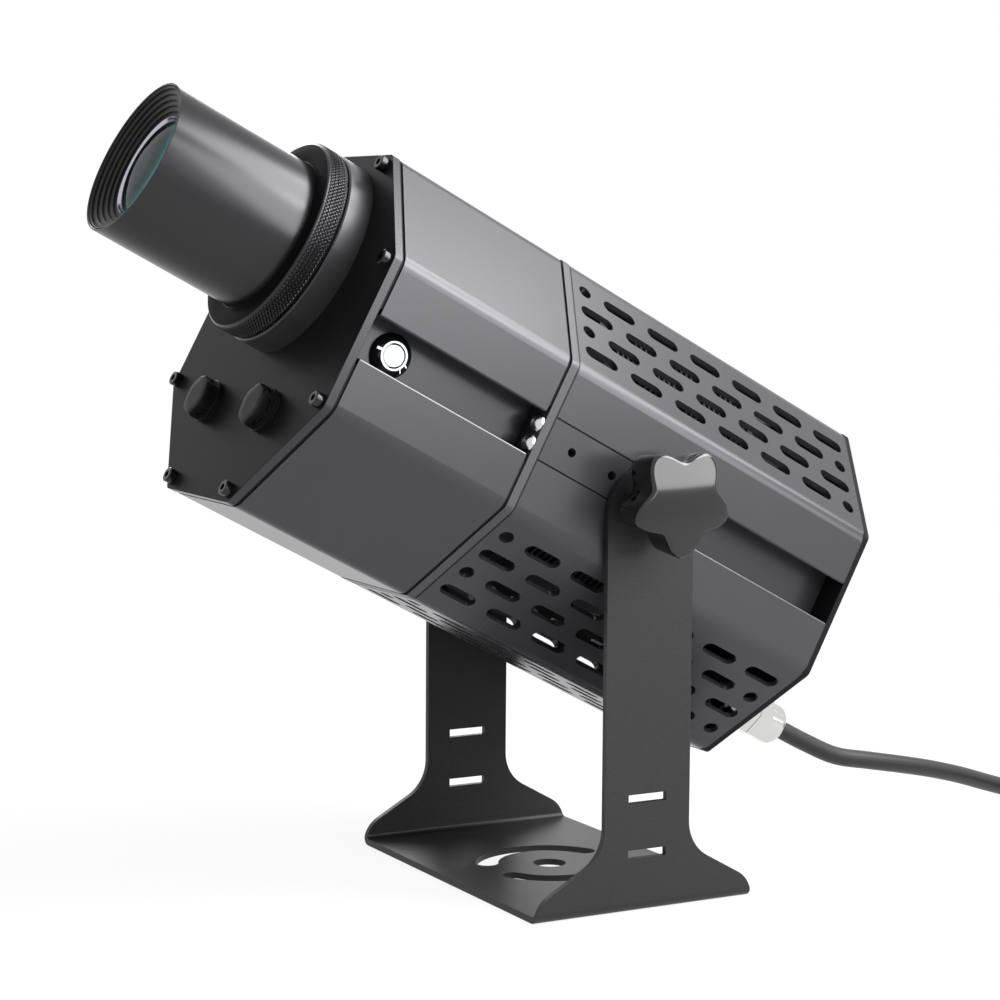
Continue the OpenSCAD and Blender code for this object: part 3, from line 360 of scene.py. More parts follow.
def grain_group() -> bpy.types.NodeTree:
    """Fine grain: a fine noise is the height, and the roughness follows that noise and a slow one.

    Returns:
        The group, with a height and a roughness as its outputs.
    """
    group = Group("fine_grain", {"Vector": ("Vector", (0.0, 0.0, 0.0)), "Grain Scale": ("Float", 900.0),
                                 "Roughness": ("Float", 0.4), "Roughness Spread": ("Float", 0.06)},
                  {"Height": "Float", "Roughness": "Float"})
    given = group.given
    fine = group.node("TexNoise", {"Vector": given["Vector"], "Scale": given["Grain Scale"], "Detail": 3.0})
    slow = group.node("TexNoise", {"Vector": given["Vector"], "Scale": 22.0, "Detail": 2.0})
    both = group.math("ADD", fine.outputs["Fac"], slow.outputs["Fac"])
    wander = group.math("MULTIPLY", group.math("SUBTRACT", both, 1.0), given["Roughness Spread"])
    roughness = group.math("ADD", wander, given["Roughness"], clamp=True)
    group.feed(group.result, {"Height": fine.outputs["Fac"], "Roughness": roughness})
    return group.tree


def drift_group() -> bpy.types.NodeTree:
    """Tone drift: a colour that wanders a little lighter and darker over the surface.

    Returns:
        The group, with the colour as its output.
    """
    group = Group("tone_drift", {"Vector": ("Vector", (0.0, 0.0, 0.0)),
                                 "Colour": ("Color", (0.1, 0.1, 0.1, 1.0)),
                                 "Drift": ("Float", 0.1), "Drift Scale": ("Float", 30.0)},
                  {"Colour": "Color"})
    given = group.given
    noise = group.node("TexNoise", {"Vector": given["Vector"], "Scale": given["Drift Scale"], "Detail": 4.0})
    wander = group.math("MULTIPLY", group.math("SUBTRACT", noise.outputs["Fac"], 0.5), given["Drift"])
    share = group.math("ADD", wander, 1.0)
    tone = group.node("VectorMath", {0: given["Colour"], "Scale": share}, operation="SCALE")
    group.feed(group.result, {"Colour": tone.outputs[0]})
    return group.tree


def new_material(name: str) -> tuple[bpy.types.Material, Graph, bpy.types.Node]:
    """Starts a material.

    Args:
        name: its name.

    Returns:
        The material, its graph and its shader.
    """
    material = bpy.data.materials.new(name)
    material.use_nodes = True
    return material, Graph(material.node_tree), material.node_tree.nodes["Principled BSDF"]


@dataclass(frozen=True)
class Finish:
    """A surface finish: its tone, its gloss and the grain of its surface.

    Attributes:
        name: the material's name.
        colour: the tone that the drift wanders about.
        roughness: the gloss, from 0 for a mirror.
        metallic: how much of it reflects as bare metal.
        spread: how far the roughness wanders with the grain.
        drift: how far the tone wanders.
        drift_scale: how fine the tone's patches are.
        grain_scale: how fine the grain is.
        grain_depth: how strongly the grain stands out.
        stretch: the scale of the pattern on each axis.
        specular: the gloss of what isn't metal.
        sheen: the pale edge of rubber and cloth.
    """

    name: str
    colour: Colour
    roughness: float = 0.4
    metallic: float = 0.0
    spread: float = 0.05
    drift: float = 0.05
    drift_scale: float = 25.0
    grain_scale: float = 900.0
    grain_depth: float = 0.03
    stretch: tuple[float, float, float] = (1.0, 1.0, 1.0)
    specular: float = 0.5
    sheen: float = 0.0

    def build(self, groups: dict[str, bpy.types.NodeTree]) -> bpy.types.Material:
        """Makes the material: object coordinates, turned with the head, through both groups into the shader.

        Args:
            groups: the shared node groups by name.

        Returns:
            The material.
        """
        material, graph, shader = new_material(self.name)
        turn = graph.node("Mapping", {"Vector": graph.place(), "Rotation": (HEAD.tilt, 0.0, 0.0),
                                      "Scale": self.stretch})
        where = turn.outputs["Vector"]
        grain = graph.node("Group", {"Vector": where, "Grain Scale": self.grain_scale,
                                     "Roughness": self.roughness, "Roughness Spread": self.spread},
                           node_tree=groups["fine_grain"])
        drift = graph.node("Group", {"Vector": where, "Colour": (*self.colour, 1.0), "Drift": self.drift,
                                     "Drift Scale": self.drift_scale}, node_tree=groups["tone_drift"])
        bump = graph.node("Bump", {"Height": grain.outputs["Height"], "Strength": self.grain_depth,
                                   "Distance": GRAIN_HEIGHT})
        graph.feed(shader, {"Base Color": drift.outputs["Colour"], "Roughness": grain.outputs["Roughness"],
                            "Normal": bump.outputs["Normal"], "Metallic": self.metallic,
                            "Specular IOR Level": self.specular, "Sheen Weight": self.sheen})
        return material


@dataclass(frozen=True)
class GlassFinish:
    """Coated lens glass: clear, with the green tint of its coating, and a low index so that it looks dark."""

    name: str
    tint: Colour = (0.22, 0.6, 0.62)
    index: float = 1.16
    roughness: float = 0.01
    haze_scale: float = 60.0

    def build(self, groups: dict[str, bpy.types.NodeTree]) -> bpy.types.Material:
        """Makes the material, with a faint drift of its roughness.

        Args:
            groups: the shared node groups by name.

        Returns:
            The material.
        """
        material, graph, shader = new_material(self.name)
        grain = graph.node("Group", {"Vector": graph.place(), "Grain Scale": self.haze_scale,
                                     "Roughness": self.roughness, "Roughness Spread": self.roughness},
                           node_tree=groups["fine_grain"])
        graph.feed(shader, {"Base Color": (*self.tint, 1.0), "Roughness": grain.outputs["Roughness"],
                            "Transmission Weight": 1.0, "IOR": self.index})
        return material


class Palette:
    """Every finish of the projector, built once."""

    # Painted glow of the power button's cap, its ring and its glint marks.
    PAINTED_GLOW: Colour = (0.95, 0.98, 1.0)
    PAINTED_GLOW_STRENGTH: float = 0.55
    FINISHES: tuple[Finish, ...] = (
        Finish("housing_anodised", (0.054, 0.054, 0.058), roughness=0.26, metallic=0.55, spread=0.04,
               drift=0.03, drift_scale=12.0, grain_scale=2400.0, grain_depth=0.006, specular=0.2),
        # Painted highlight: a lighter bare metal for the groove lips' bright line.
        Finish("lip_highlight_metal", (0.12, 0.12, 0.124), roughness=0.32, metallic=1.0, spread=0.08, drift=0.15,
               drift_scale=60.0),
        Finish("bar_anodised", (0.05, 0.05, 0.0535), roughness=0.26, metallic=0.5, spread=0.04, drift=0.03,
               drift_scale=12.0, grain_scale=2400.0, grain_depth=0.006, specular=0.2),
        Finish("edge_anodised", (0.042, 0.042, 0.045), roughness=0.28, metallic=0.55, drift=0.06,
               drift_scale=12.0, grain_scale=1600.0, grain_depth=0.01, specular=0.2),
        Finish("plate_anodised", (0.009, 0.009, 0.0097), roughness=0.38, metallic=0.1, drift=0.06,
               drift_scale=20.0, grain_depth=0.05, specular=0.05),
        Finish("mid_plate_anodised", (0.06, 0.06, 0.064), roughness=0.32, metallic=0.4, drift=0.06,
               drift_scale=20.0, grain_depth=0.04, specular=0.25),
        Finish("powder_coat", (0.013, 0.013, 0.0138), roughness=0.44, spread=0.08,
               drift=0.06, grain_scale=1400.0, grain_depth=0.25, specular=0.25),
        Finish("turned_black", (0.04, 0.04, 0.042), roughness=0.25, metallic=0.85, spread=0.03,
               grain_scale=700.0, grain_depth=0.01, specular=0.25),
        Finish("collar_satin", (0.05, 0.05, 0.053), roughness=0.34, metallic=0.45, spread=0.04,
               grain_depth=0.02, specular=0.3),
        Finish("funnel_black", (0.026, 0.026, 0.027), roughness=0.38, metallic=0.55, spread=0.04,
               grain_depth=0.02, specular=0.3),
        # Painted reflection: a bright violet metal that stands in for the front lens rim's reflection.
        Finish("rim_glint_metal", (0.5, 0.49, 0.58), roughness=0.16, metallic=0.9, spread=0.04,
               grain_depth=0.01),
        Finish("barrel_inside", (0.005, 0.005, 0.0054), roughness=0.5, grain_scale=700.0,
               specular=0.03),
        Finish("knurled_black", (0.032, 0.032, 0.034), roughness=0.2, metallic=0.75, grain_scale=700.0,
               grain_depth=0.01, specular=0.25),
        Finish("knob_gloss", (0.006, 0.006, 0.0065), roughness=0.1, spread=0.03,
               drift_scale=30.0, grain_scale=500.0, grain_depth=0.008, specular=0.55),
        Finish("stainless", (0.62, 0.62, 0.63), roughness=0.2, metallic=1.0, spread=0.06, drift=0.06,
               drift_scale=60.0, grain_scale=1200.0),
        Finish("black_screw", (0.014, 0.014, 0.015), roughness=0.14, metallic=0.5, drift=0.1,
               drift_scale=60.0, grain_scale=1200.0, grain_depth=0.02),
        Finish("nickel", (0.6, 0.6, 0.59), roughness=0.14, metallic=1.0, spread=0.06, drift_scale=40.0),
        Finish("fin_anodised", (0.03, 0.03, 0.031), roughness=0.5, metallic=0.3, drift=0.06,
               drift_scale=20.0, grain_depth=0.05, specular=0.2),
        Finish("mill_aluminium", (0.42, 0.42, 0.43), roughness=0.34, metallic=1.0, spread=0.08, drift=0.06,
               drift_scale=40.0, grain_depth=0.05, stretch=(1.0, 0.06, 1.0)),
        Finish("plug_black", (0.01, 0.01, 0.0107), roughness=0.32, metallic=0.05, grain_depth=0.02,
               specular=0.06),
        Finish("gasket_rubber", (0.006, 0.006, 0.006), roughness=0.6, spread=0.06,
               drift=0.06, drift_scale=40.0, grain_depth=0.08, specular=0.2),
        Finish("cord_rubber", (0.008, 0.008, 0.009), spread=0.06, drift=0.08,
               grain_scale=1500.0, grain_depth=0.1, specular=0.3, sheen=0.03),
        Finish("moulded_black", (0.02, 0.02, 0.021), roughness=0.42, spread=0.06, drift=0.06,
               drift_scale=40.0, grain_scale=1100.0, grain_depth=0.15),
        Finish("bezel_gloss", (0.006, 0.006, 0.007), roughness=0.1, spread=0.02, drift=0.03,
               drift_scale=40.0, grain_scale=500.0, grain_depth=0.01, specular=0.4),
        Finish("fibre_disc", (0.02, 0.02, 0.02), roughness=0.8, drift=0.2, drift_scale=300.0,
               grain_scale=2000.0, grain_depth=0.3),
        Finish("driver_case", (0.3, 0.3, 0.31), roughness=0.5, metallic=0.2, spread=0.06, drift_scale=40.0,
               grain_depth=0.05),
        Finish("led_phosphor", (0.75, 0.6, 0.12), roughness=0.5, drift_scale=80.0,
               grain_depth=0.05),
        Finish("pin_brass", (0.72, 0.55, 0.24), roughness=0.24, metallic=1.0, spread=0.06, drift=0.06,
               drift_scale=60.0),
        Finish("strap_weave", (0.015, 0.015, 0.016), roughness=0.75, spread=0.08, drift=0.3,
               drift_scale=900.0, grain_scale=2600.0, grain_depth=0.6),
    )

    def __init__(self) -> None:
        """Builds the shared groups and every material."""
        self.groups = {"fine_grain": grain_group(), "tone_drift": drift_group()}
        self.materials = {finish.name: finish.build(self.groups) for finish in self.FINISHES}
        glass = GlassFinish("lens_glass")
        self.materials[glass.name] = glass.build(self.groups)
        self.materials["lit_cap"] = self.lit_cap()

    def lit_cap(self) -> bpy.types.Material:
        """The power button's cap: white plastic with a painted glow, an emission that lifts it above the
        lamps' light.

        Returns:
            The material, with its painted glow on the shader's own sockets.
        """
        finish = Finish("lit_cap", (0.86, 0.88, 0.9), roughness=0.3, spread=0.04, drift=0.03,
                        drift_scale=60.0, grain_depth=0.02)
        material = finish.build(self.groups)
        tree = material.node_tree
        Graph(tree).feed(tree.nodes["Principled BSDF"], {
            "Emission Color": (*self.PAINTED_GLOW, 1.0), "Emission Strength": self.PAINTED_GLOW_STRENGTH})
        return material

    def dress(self, obj: bpy.types.Object, finish: str) -> None:
        """Gives an object one finish in all of its slots.

        Args:
            obj: the object.
            finish: the finish's name.
        """
        material = self.materials[finish]
        if obj.material_slots:
            for slot in obj.material_slots:
                slot.material = material
        else:
            obj.data.materials.append(material)


@dataclass
class Workshop:
    """What every sub-assembly needs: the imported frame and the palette."""

    frame: dict
    palette: Palette

    def dress_nodes(self, finishes: dict[str, str]) -> None:
        """Gives carried-over nodes their finishes.

        Args:
            finishes: each node's name with its finish's name.
        """
        for node, finish in finishes.items():
            self.palette.dress(self.frame["nodes"][node], finish)

    def add(self, piece: bpy.types.Object, body: Body, slot: str, finish: str,
            replaces: Sequence[str] = ()) -> None:
        """Finishes a new piece, sets it on its body and hides the nodes that it stands for.

        Args:
            piece: the new object.
            body: the body that it rides on.
            slot: the record's material slot; not used.
            finish: the palette's name for its finish.
            replaces: the nodes that it stands for.
        """
        self.palette.dress(piece, finish)
        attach(piece, body.value)
        if replaces:
            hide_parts(*replaces)
        LOG.info("%s: %d faces on %s", piece.name, len(piece.data.polygons), body.value)


# Sub-assemblies


@dataclass
class SubAssembly(ABC):
    """Pieces that belong together, and the workshop that finishes them."""

    shop: Workshop

    @abstractmethod
    def build(self) -> None:
        """Makes its pieces and dresses its nodes."""


@dataclass
class MainsCord(SubAssembly):
    """The round mains cord: the free stretch from the gland, the coil put away, its tie and its plug."""

    diameter: float = 9.0 * MM
    gland_tip: tuple[float, float, float] = (42.0, 103.9, 68.4)
    chosen: Sequence[tuple[float, float, float]] = (
        (42, 122, 59), (42, 140, 51), (41, 161, 46.5), (39, 183, 42), (36, 205, 37), (32, 227, 31),
        (27, 249, 24), (22, 271, 17.2), (17, 291, 11.2), (12.4, 309, 7), (10, 321, 5.6), (10, 331, 5.6))
    coil_middle: tuple[float, float] = (66.9, 340.0)
    inner_radius: float = 36.5
    pitch: float = 9.6
    turns: float = 4.25
    floor_gap: float = 5.6
    plug_run: float = 9.0
    lead_steps: int = 8
    turn_steps: int = 48
    sides: int = 18
    rest_from: tuple[float, float, float] = (0.041, 0.163, 0.046)

    def coil(self) -> np.ndarray:
        """The coil's middle line: the radius falls to the middle turn and grows again, one layer higher.

        The climb is a smooth step over the half turn about the middle of the coil.

        Returns:
            Points in millimetres, one a row.
        """
        t = np.linspace(0, self.turns, int(self.turns * self.turn_steps) + 1)
        angle = math.pi - TURN * t
        radius = self.inner_radius + self.pitch * np.abs(t - self.turns / 2)
        k = np.clip((t - self.turns / 2) * 2 + 0.5, 0, 1)
        height = self.floor_gap + self.pitch * k * k * (3 - 2 * k)
        x, y = self.coil_middle
        return np.stack([x + radius * np.cos(angle), y + radius * np.sin(angle), height], axis=1)

    def path(self) -> np.ndarray:
        """The cord's middle line: a smooth curve through the chosen points, the coil and a straight end.

        Returns:
            Points in metres, one a row.
        """
        lead = smooth_path(np.array([self.gland_tip, *self.chosen]), self.lead_steps)
        coil = self.coil()
        end = coil[-1] + np.array([self.plug_run, 0.0, 0.0])
        line = np.concatenate([lead, coil[1:] if np.allclose(lead[-1], coil[0]) else coil, [end]])
        return line * MM

    def build(self) -> None:
        path = self.path()
        cord = tube("mains_cord", path, self.diameter / 2, self.sides)
        self.shop.palette.dress(cord, "cord_rubber")
        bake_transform(cord)
        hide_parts("cord_lead", "cord_coil")
        self.shop.dress_nodes({"cord_tie": "strap_weave", "mains_plug": "moulded_black",
                               "plug_pins": "pin_brass"})


def smooth_path(points: np.ndarray, steps: int) -> np.ndarray:
    """A smooth curve through points: cubic pieces whose slopes are the mean of their neighbours' steps.

    Args:
        points: the points, one a row.
        steps: pieces of line between two points.

    Returns:
        The curve's points, from the first point to the last.
    """
    slope = np.gradient(points, axis=0)
    slope[0] = points[1] - points[0]
    slope[-1] = points[-1] - points[-2]
    t = np.linspace(0, 1, steps, endpoint=False)[None, :, None]
    a, b = points[:-1, None, :], points[1:, None, :]
    da, db = slope[:-1, None, :], slope[1:, None, :]
    curve = ((2 * t**3 - 3 * t**2 + 1) * a + (t**3 - 2 * t**2 + t) * da
             + (3 * t**2 - 2 * t**3) * b + (t**3 - t**2) * db)
    return np.concatenate([curve.reshape(-1, 3), points[-1:]])


@dataclass
class LensMount(SubAssembly):
    """The collar, the knurled focus ring, the barrel, and the funnel that holds the front lens in its mouth.

    Stations along the lens axis and radii are in millimetres.
    """

    ring_back: float = 176.3
    ring_front: float = 187.3
    ring_radius: float = 47.5
    ring_bore: float = 36.8
    neck_bore: float = 41.1
    ring_chamfer: float = 0.5
    ring_land: float = 0.8
    flange: float = 3.0
    face_proud: float = 0.08
    knurls: int = 150
    knurl_depth: float = 0.95
    knurl_margin: float = 1.3
    knurl_rows: int = 31
    knurl_steps: int = 6
    barrel_radius: float = 36.7
    barrel_chamfer: float = 0.5
    tail: float = 146.0
    mouth: float = 259.0
    lip_round: float = 0.4
    lens_radius: float = 31.4
    lens_play: float = 0.05
    lens_seat: float = 1.6
    lens_back: float = 244.5
    lens_front: float = 249.5
    lens_clear: float = 24.3
    front_rise: float = 4.4
    back_rise: float = 3.2
    rear_seat: float = 14.0
    funnel_radius: float = 35.6
    funnel_wall: float = 1.0
    funnel_top: float = 258.4
    funnel_lip: float = 1.5
    funnel_steps: int = 5
    funnel_bevel: float = 0.6

    def knurled_ring(self) -> bpy.types.Object:
        """The focus ring: a turned section whose rim is cut by two crossing sets of grooves.

        The rim's radius is the full radius less the knurl's depth times the larger of two saw teeth, which
        run round the ring and slant opposite ways, so pointed diamonds stay between the grooves.

        Returns:
            The ring.
        """
        back, front, outer, bore = self.ring_back, self.ring_front, self.ring_radius, self.ring_bore
        land, cut = outer - self.ring_land, self.ring_chamfer
        angle = np.linspace(0, TURN, self.knurls * self.knurl_steps, endpoint=False)[None, :]
        band = np.linspace(back + self.knurl_margin, front - self.knurl_margin, self.knurl_rows)
        pitch = TURN * outer / self.knurls
        around = angle * self.knurls / TURN
        along = (band[:, None] - back) / pitch
        groove = 2 * np.maximum(np.abs((around + along) % 1.0 - 0.5), np.abs((around - along) % 1.0 - 0.5))
        rim = outer - self.knurl_depth * groove
        neck = self.neck_bore
        first = np.array([(back, neck), (back, land - 0.6), (back + cut, land - 0.1), (back + 1.1, land)])
        last = np.array([(front - 1.1, land), (front - cut, land - 0.1), (front, land - 0.8),
                         (front, bore + 0.3), (front - 0.3, bore), (front - self.flange, bore),
                         (front - self.flange, neck)])
        station = np.concatenate([first[:, 0], band, last[:, 0]])[:, None]
        one = np.ones_like(angle)
        radius = np.concatenate([first[:, 1:] * one, rim, last[:, 1:] * one])
        points = lens_axis().cylinder_point(angle, radius * MM, station * MM)
        return make_mesh("focus_ring_knurled", points, grid_faces(*radius.shape, True, True), 30.0)

    def shaded_ring_face(self) -> bpy.types.Object:
        """The focus ring's front face: painted shade, a darker dull layer for its dark reflection, a hair
        proud of the ring.
        """
        front, inner, outer = self.ring_front, self.ring_bore + 0.5, self.ring_radius - 1.7
        top, foot, edge = front + self.face_proud, front - 0.4, front + 0.03
        section = [(foot, inner), (foot, outer), (edge, outer), (top, outer - 0.1), (top, inner + 0.1),
                   (edge, inner)]
        return turned("focus_ring_shaded_face", lens_axis(), section, 192)

    def barrel(self) -> bpy.types.Object:
        """The barrel: a turned tube with fine bevels and a seat for each lens.

        Returns:
            The barrel.
        """
        outer, bore, cut = self.barrel_radius, self.lens_radius + self.lens_play, self.barrel_chamfer
        rear_step, seat = self.tail + self.rear_seat, self.lens_radius - self.lens_seat
        ledge = self.lens_front - 0.1
        section = [(self.tail, bore), (self.tail, outer - cut), (self.tail + cut, outer),
                   (self.mouth - self.lip_round, outer), (self.mouth - 0.1, outer - 0.12),
                   (self.mouth, outer - self.lip_round), (self.mouth, self.funnel_radius + self.lip_round),
                   (self.mouth - self.lip_round, self.funnel_radius), (ledge, self.funnel_radius),
                   (ledge, bore), (self.lens_back, bore), (self.lens_back, seat), (rear_step, seat),
                   (rear_step, bore)]
        return turned("barrel_shell", lens_axis(), section, 192)

    def funnel(self) -> bpy.types.Object:
        """The funnel: steps that widen from the lens to the mouth, each with a bevelled edge.

        Returns:
            The funnel.
        """
        outside, bevel = self.funnel_radius - self.lens_play, self.funnel_bevel
        rise = (self.funnel_radius - self.funnel_wall - self.lens_clear) / self.funnel_steps
        run = (self.funnel_top - self.lens_front - self.funnel_lip) / self.funnel_steps
        section = [(self.lens_front, outside), (self.funnel_top - bevel, outside),
                   (self.funnel_top, outside - bevel)]
        for k in range(self.funnel_steps, -1, -1):
            radius = self.lens_clear + rise * k
            top = self.lens_front + self.funnel_lip + run * k
            foot = top - run if k else self.lens_front
            section += [(top, radius + bevel), (top - bevel, radius), (foot, radius)]
        return turned("mouth_funnel", lens_axis(), section, 160)

    def painted_rim_glint(self) -> bpy.types.Object:
        """Painted reflection round the front lens: a thin bright metal ring inside the funnel's lip that
        leans outwards.
        """
        clear, foot, top = self.lens_clear, self.lens_front + 0.05, self.lens_front + self.funnel_lip - 0.1
        section = [(foot, clear + 0.2), (foot, clear - 0.7), (foot + 0.2, clear - 0.75), (top, clear - 0.12),
                   (top + 0.05, clear + 0.02), (top, clear + 0.2)]
        return turned("front_lens_rim_glint", lens_axis(), section, 192)

    def front_lens(self) -> bpy.types.Object:
        """The front lens: a flat rim between two caps.

        The front cap falls as the cube of its radius, so it is nearly flat in the middle and rolls off at its
        edge, and the back cap falls as the square.

        Returns:
            The lens.
        """
        edge = self.lens_clear - 0.3
        t = np.linspace(0, 1, 36)
        front = np.stack([self.lens_front + self.front_rise * (1 - t ** 3), edge * t], axis=1)
        rim = np.array([(self.lens_front, self.lens_radius), (self.lens_back, self.lens_radius)])
        back = np.stack([self.lens_back - self.back_rise * (1 - t ** 2), edge * t], axis=1)[::-1]
        section = np.concatenate([front, rim, back])
        return turned("front_lens_glass", lens_axis(), section, 96, closed=False)

    def build(self) -> None:
        """Makes the ring, the barrel, the funnel and the lens, and dresses what is round them."""
        self.shop.add(self.knurled_ring(), Body.RING, "black_aluminium", "knurled_black", ["focus_ring"])
        # Painted shade: the face is dressed darker than the ring for the dark reflection on it.
        self.shop.add(self.shaded_ring_face(), Body.RING, "black_aluminium", "barrel_inside")
        self.shop.add(self.barrel(), Body.BARREL, "black_aluminium", "turned_black", ["lens_barrel"])
        self.shop.add(self.funnel(), Body.BARREL, "black_aluminium", "funnel_black", ["front_lens_ring"])
        # Painted reflection: a bright metal ring for the lens rim's reflection.
        self.shop.add(self.painted_rim_glint(), Body.BARREL, "lens_glass", "rim_glint_metal")
        self.shop.add(self.front_lens(), Body.BARREL, "lens_glass", "lens_glass", ["front_lens"])
        self.shop.dress_nodes({
            "lens_collar": "collar_satin", "collar_screws": "black_screw", "guide_pin": "stainless",
            "rear_lens": "lens_glass", "rear_lens_ring": "barrel_inside", "gobo_holder": "barrel_inside",
            "gobo": "stainless", "gobo_clip": "stainless", "condenser_tube": "barrel_inside",
            "condenser_lenses": "lens_glass", "condenser_spacer": "barrel_inside",
            "light_reflector": "mill_aluminium", "led_module": "led_phosphor"})


@dataclass
class StarKnob(SubAssembly):
    """A five-lobe clamp knob: its outline swings as a cosine, and its face is part of a ball.

    Radii, and distances out from the middle of the yoke, are in millimetres. The side is 1 for the near knob
    and -1 for the far one.
    """

    side: int = 1
    lobes: int = 5
    mean_radius: float = 21.65
    wave: float = 3.65
    hub_radius: float = 12.0
    hub_at: float = 90.8
    hub_chamfer: float = 0.6
    back_at: float = 96.8
    back_round: float = 1.5
    rim_at: float = 115.8
    dome: float = 3.0
    rim_round: float = 1.6
    taper: float = 1.6
    steps: int = 240
    rim_steps: int = 6
    face_steps: int = 20

    def face_at(self, radius: np.ndarray) -> np.ndarray:
        """How far out the face is: a ball whose rim passes through the lobes' tips.

        Args:
            radius: distances from the stud's middle line.

        Returns:
            The distances out at those radii.
        """
        tip = self.mean_radius + self.wave
        ball = (tip * tip + self.dome * self.dome) / (2 * self.dome)
        return self.rim_at + self.dome - ball + np.sqrt(ball * ball - radius * radius)

    def build(self) -> None:
        """Makes the knob and dresses its stud.

        The flank leans out towards the face. The rim is a quarter turn that starts from the flank and ends on
        the face, and from there the outline shrinks to the middle over the ball.
        """
        name = "near" if self.side > 0 else "far"
        angle = np.linspace(0, TURN, self.steps, endpoint=False)[None, :]
        outline = self.mean_radius + self.wave * np.cos(self.lobes * angle)
        foot = outline - self.taper
        shoulder = self.face_at(outline) - self.rim_round
        belt = self.back_at + self.back_round
        one = np.ones_like(angle)
        rings = [(self.hub_at, 0 * one), (self.hub_at, (self.hub_radius - self.hub_chamfer) * one),
                 (self.hub_at + self.hub_chamfer, self.hub_radius * one),
                 (self.back_at, self.hub_radius * one), (self.back_at, foot - self.back_round),
                 (self.back_at + 0.4, foot - 0.5), (belt, foot),
                 ((shoulder + belt) / 2, foot + self.taper / 2), (shoulder, outline)]
        stations, radii = zip(*rings)
        turn = np.radians(np.linspace(15, 90, self.rim_steps))[:, None]
        rim = outline - self.rim_round * (1 - np.cos(turn))
        rim_out = shoulder + (self.face_at(rim) - shoulder) * np.sin(turn)
        face = (outline - self.rim_round) * np.linspace(0.97, 0.0, self.face_steps)[:, None]
        out = np.concatenate([*(at * one for at in stations), rim_out, self.face_at(face)])
        radius = np.concatenate([*radii, rim, face])
        height = HEAD.pivot_z / MM - radius * np.cos(angle)
        points = np.stack([self.side * out, radius * np.sin(angle), height], axis=-1) * MM
        knob = make_mesh(f"{name}_star_knob", points, grid_faces(*radius.shape, False, True), 40.0)
        body = Body.NEAR_CLAMP if self.side > 0 else Body.FAR_CLAMP
        self.shop.add(knob, body, "knob_plastic", "knob_gloss", [f"{name}_knob"])
        self.shop.dress_nodes({f"{name}_stud": "stainless"})


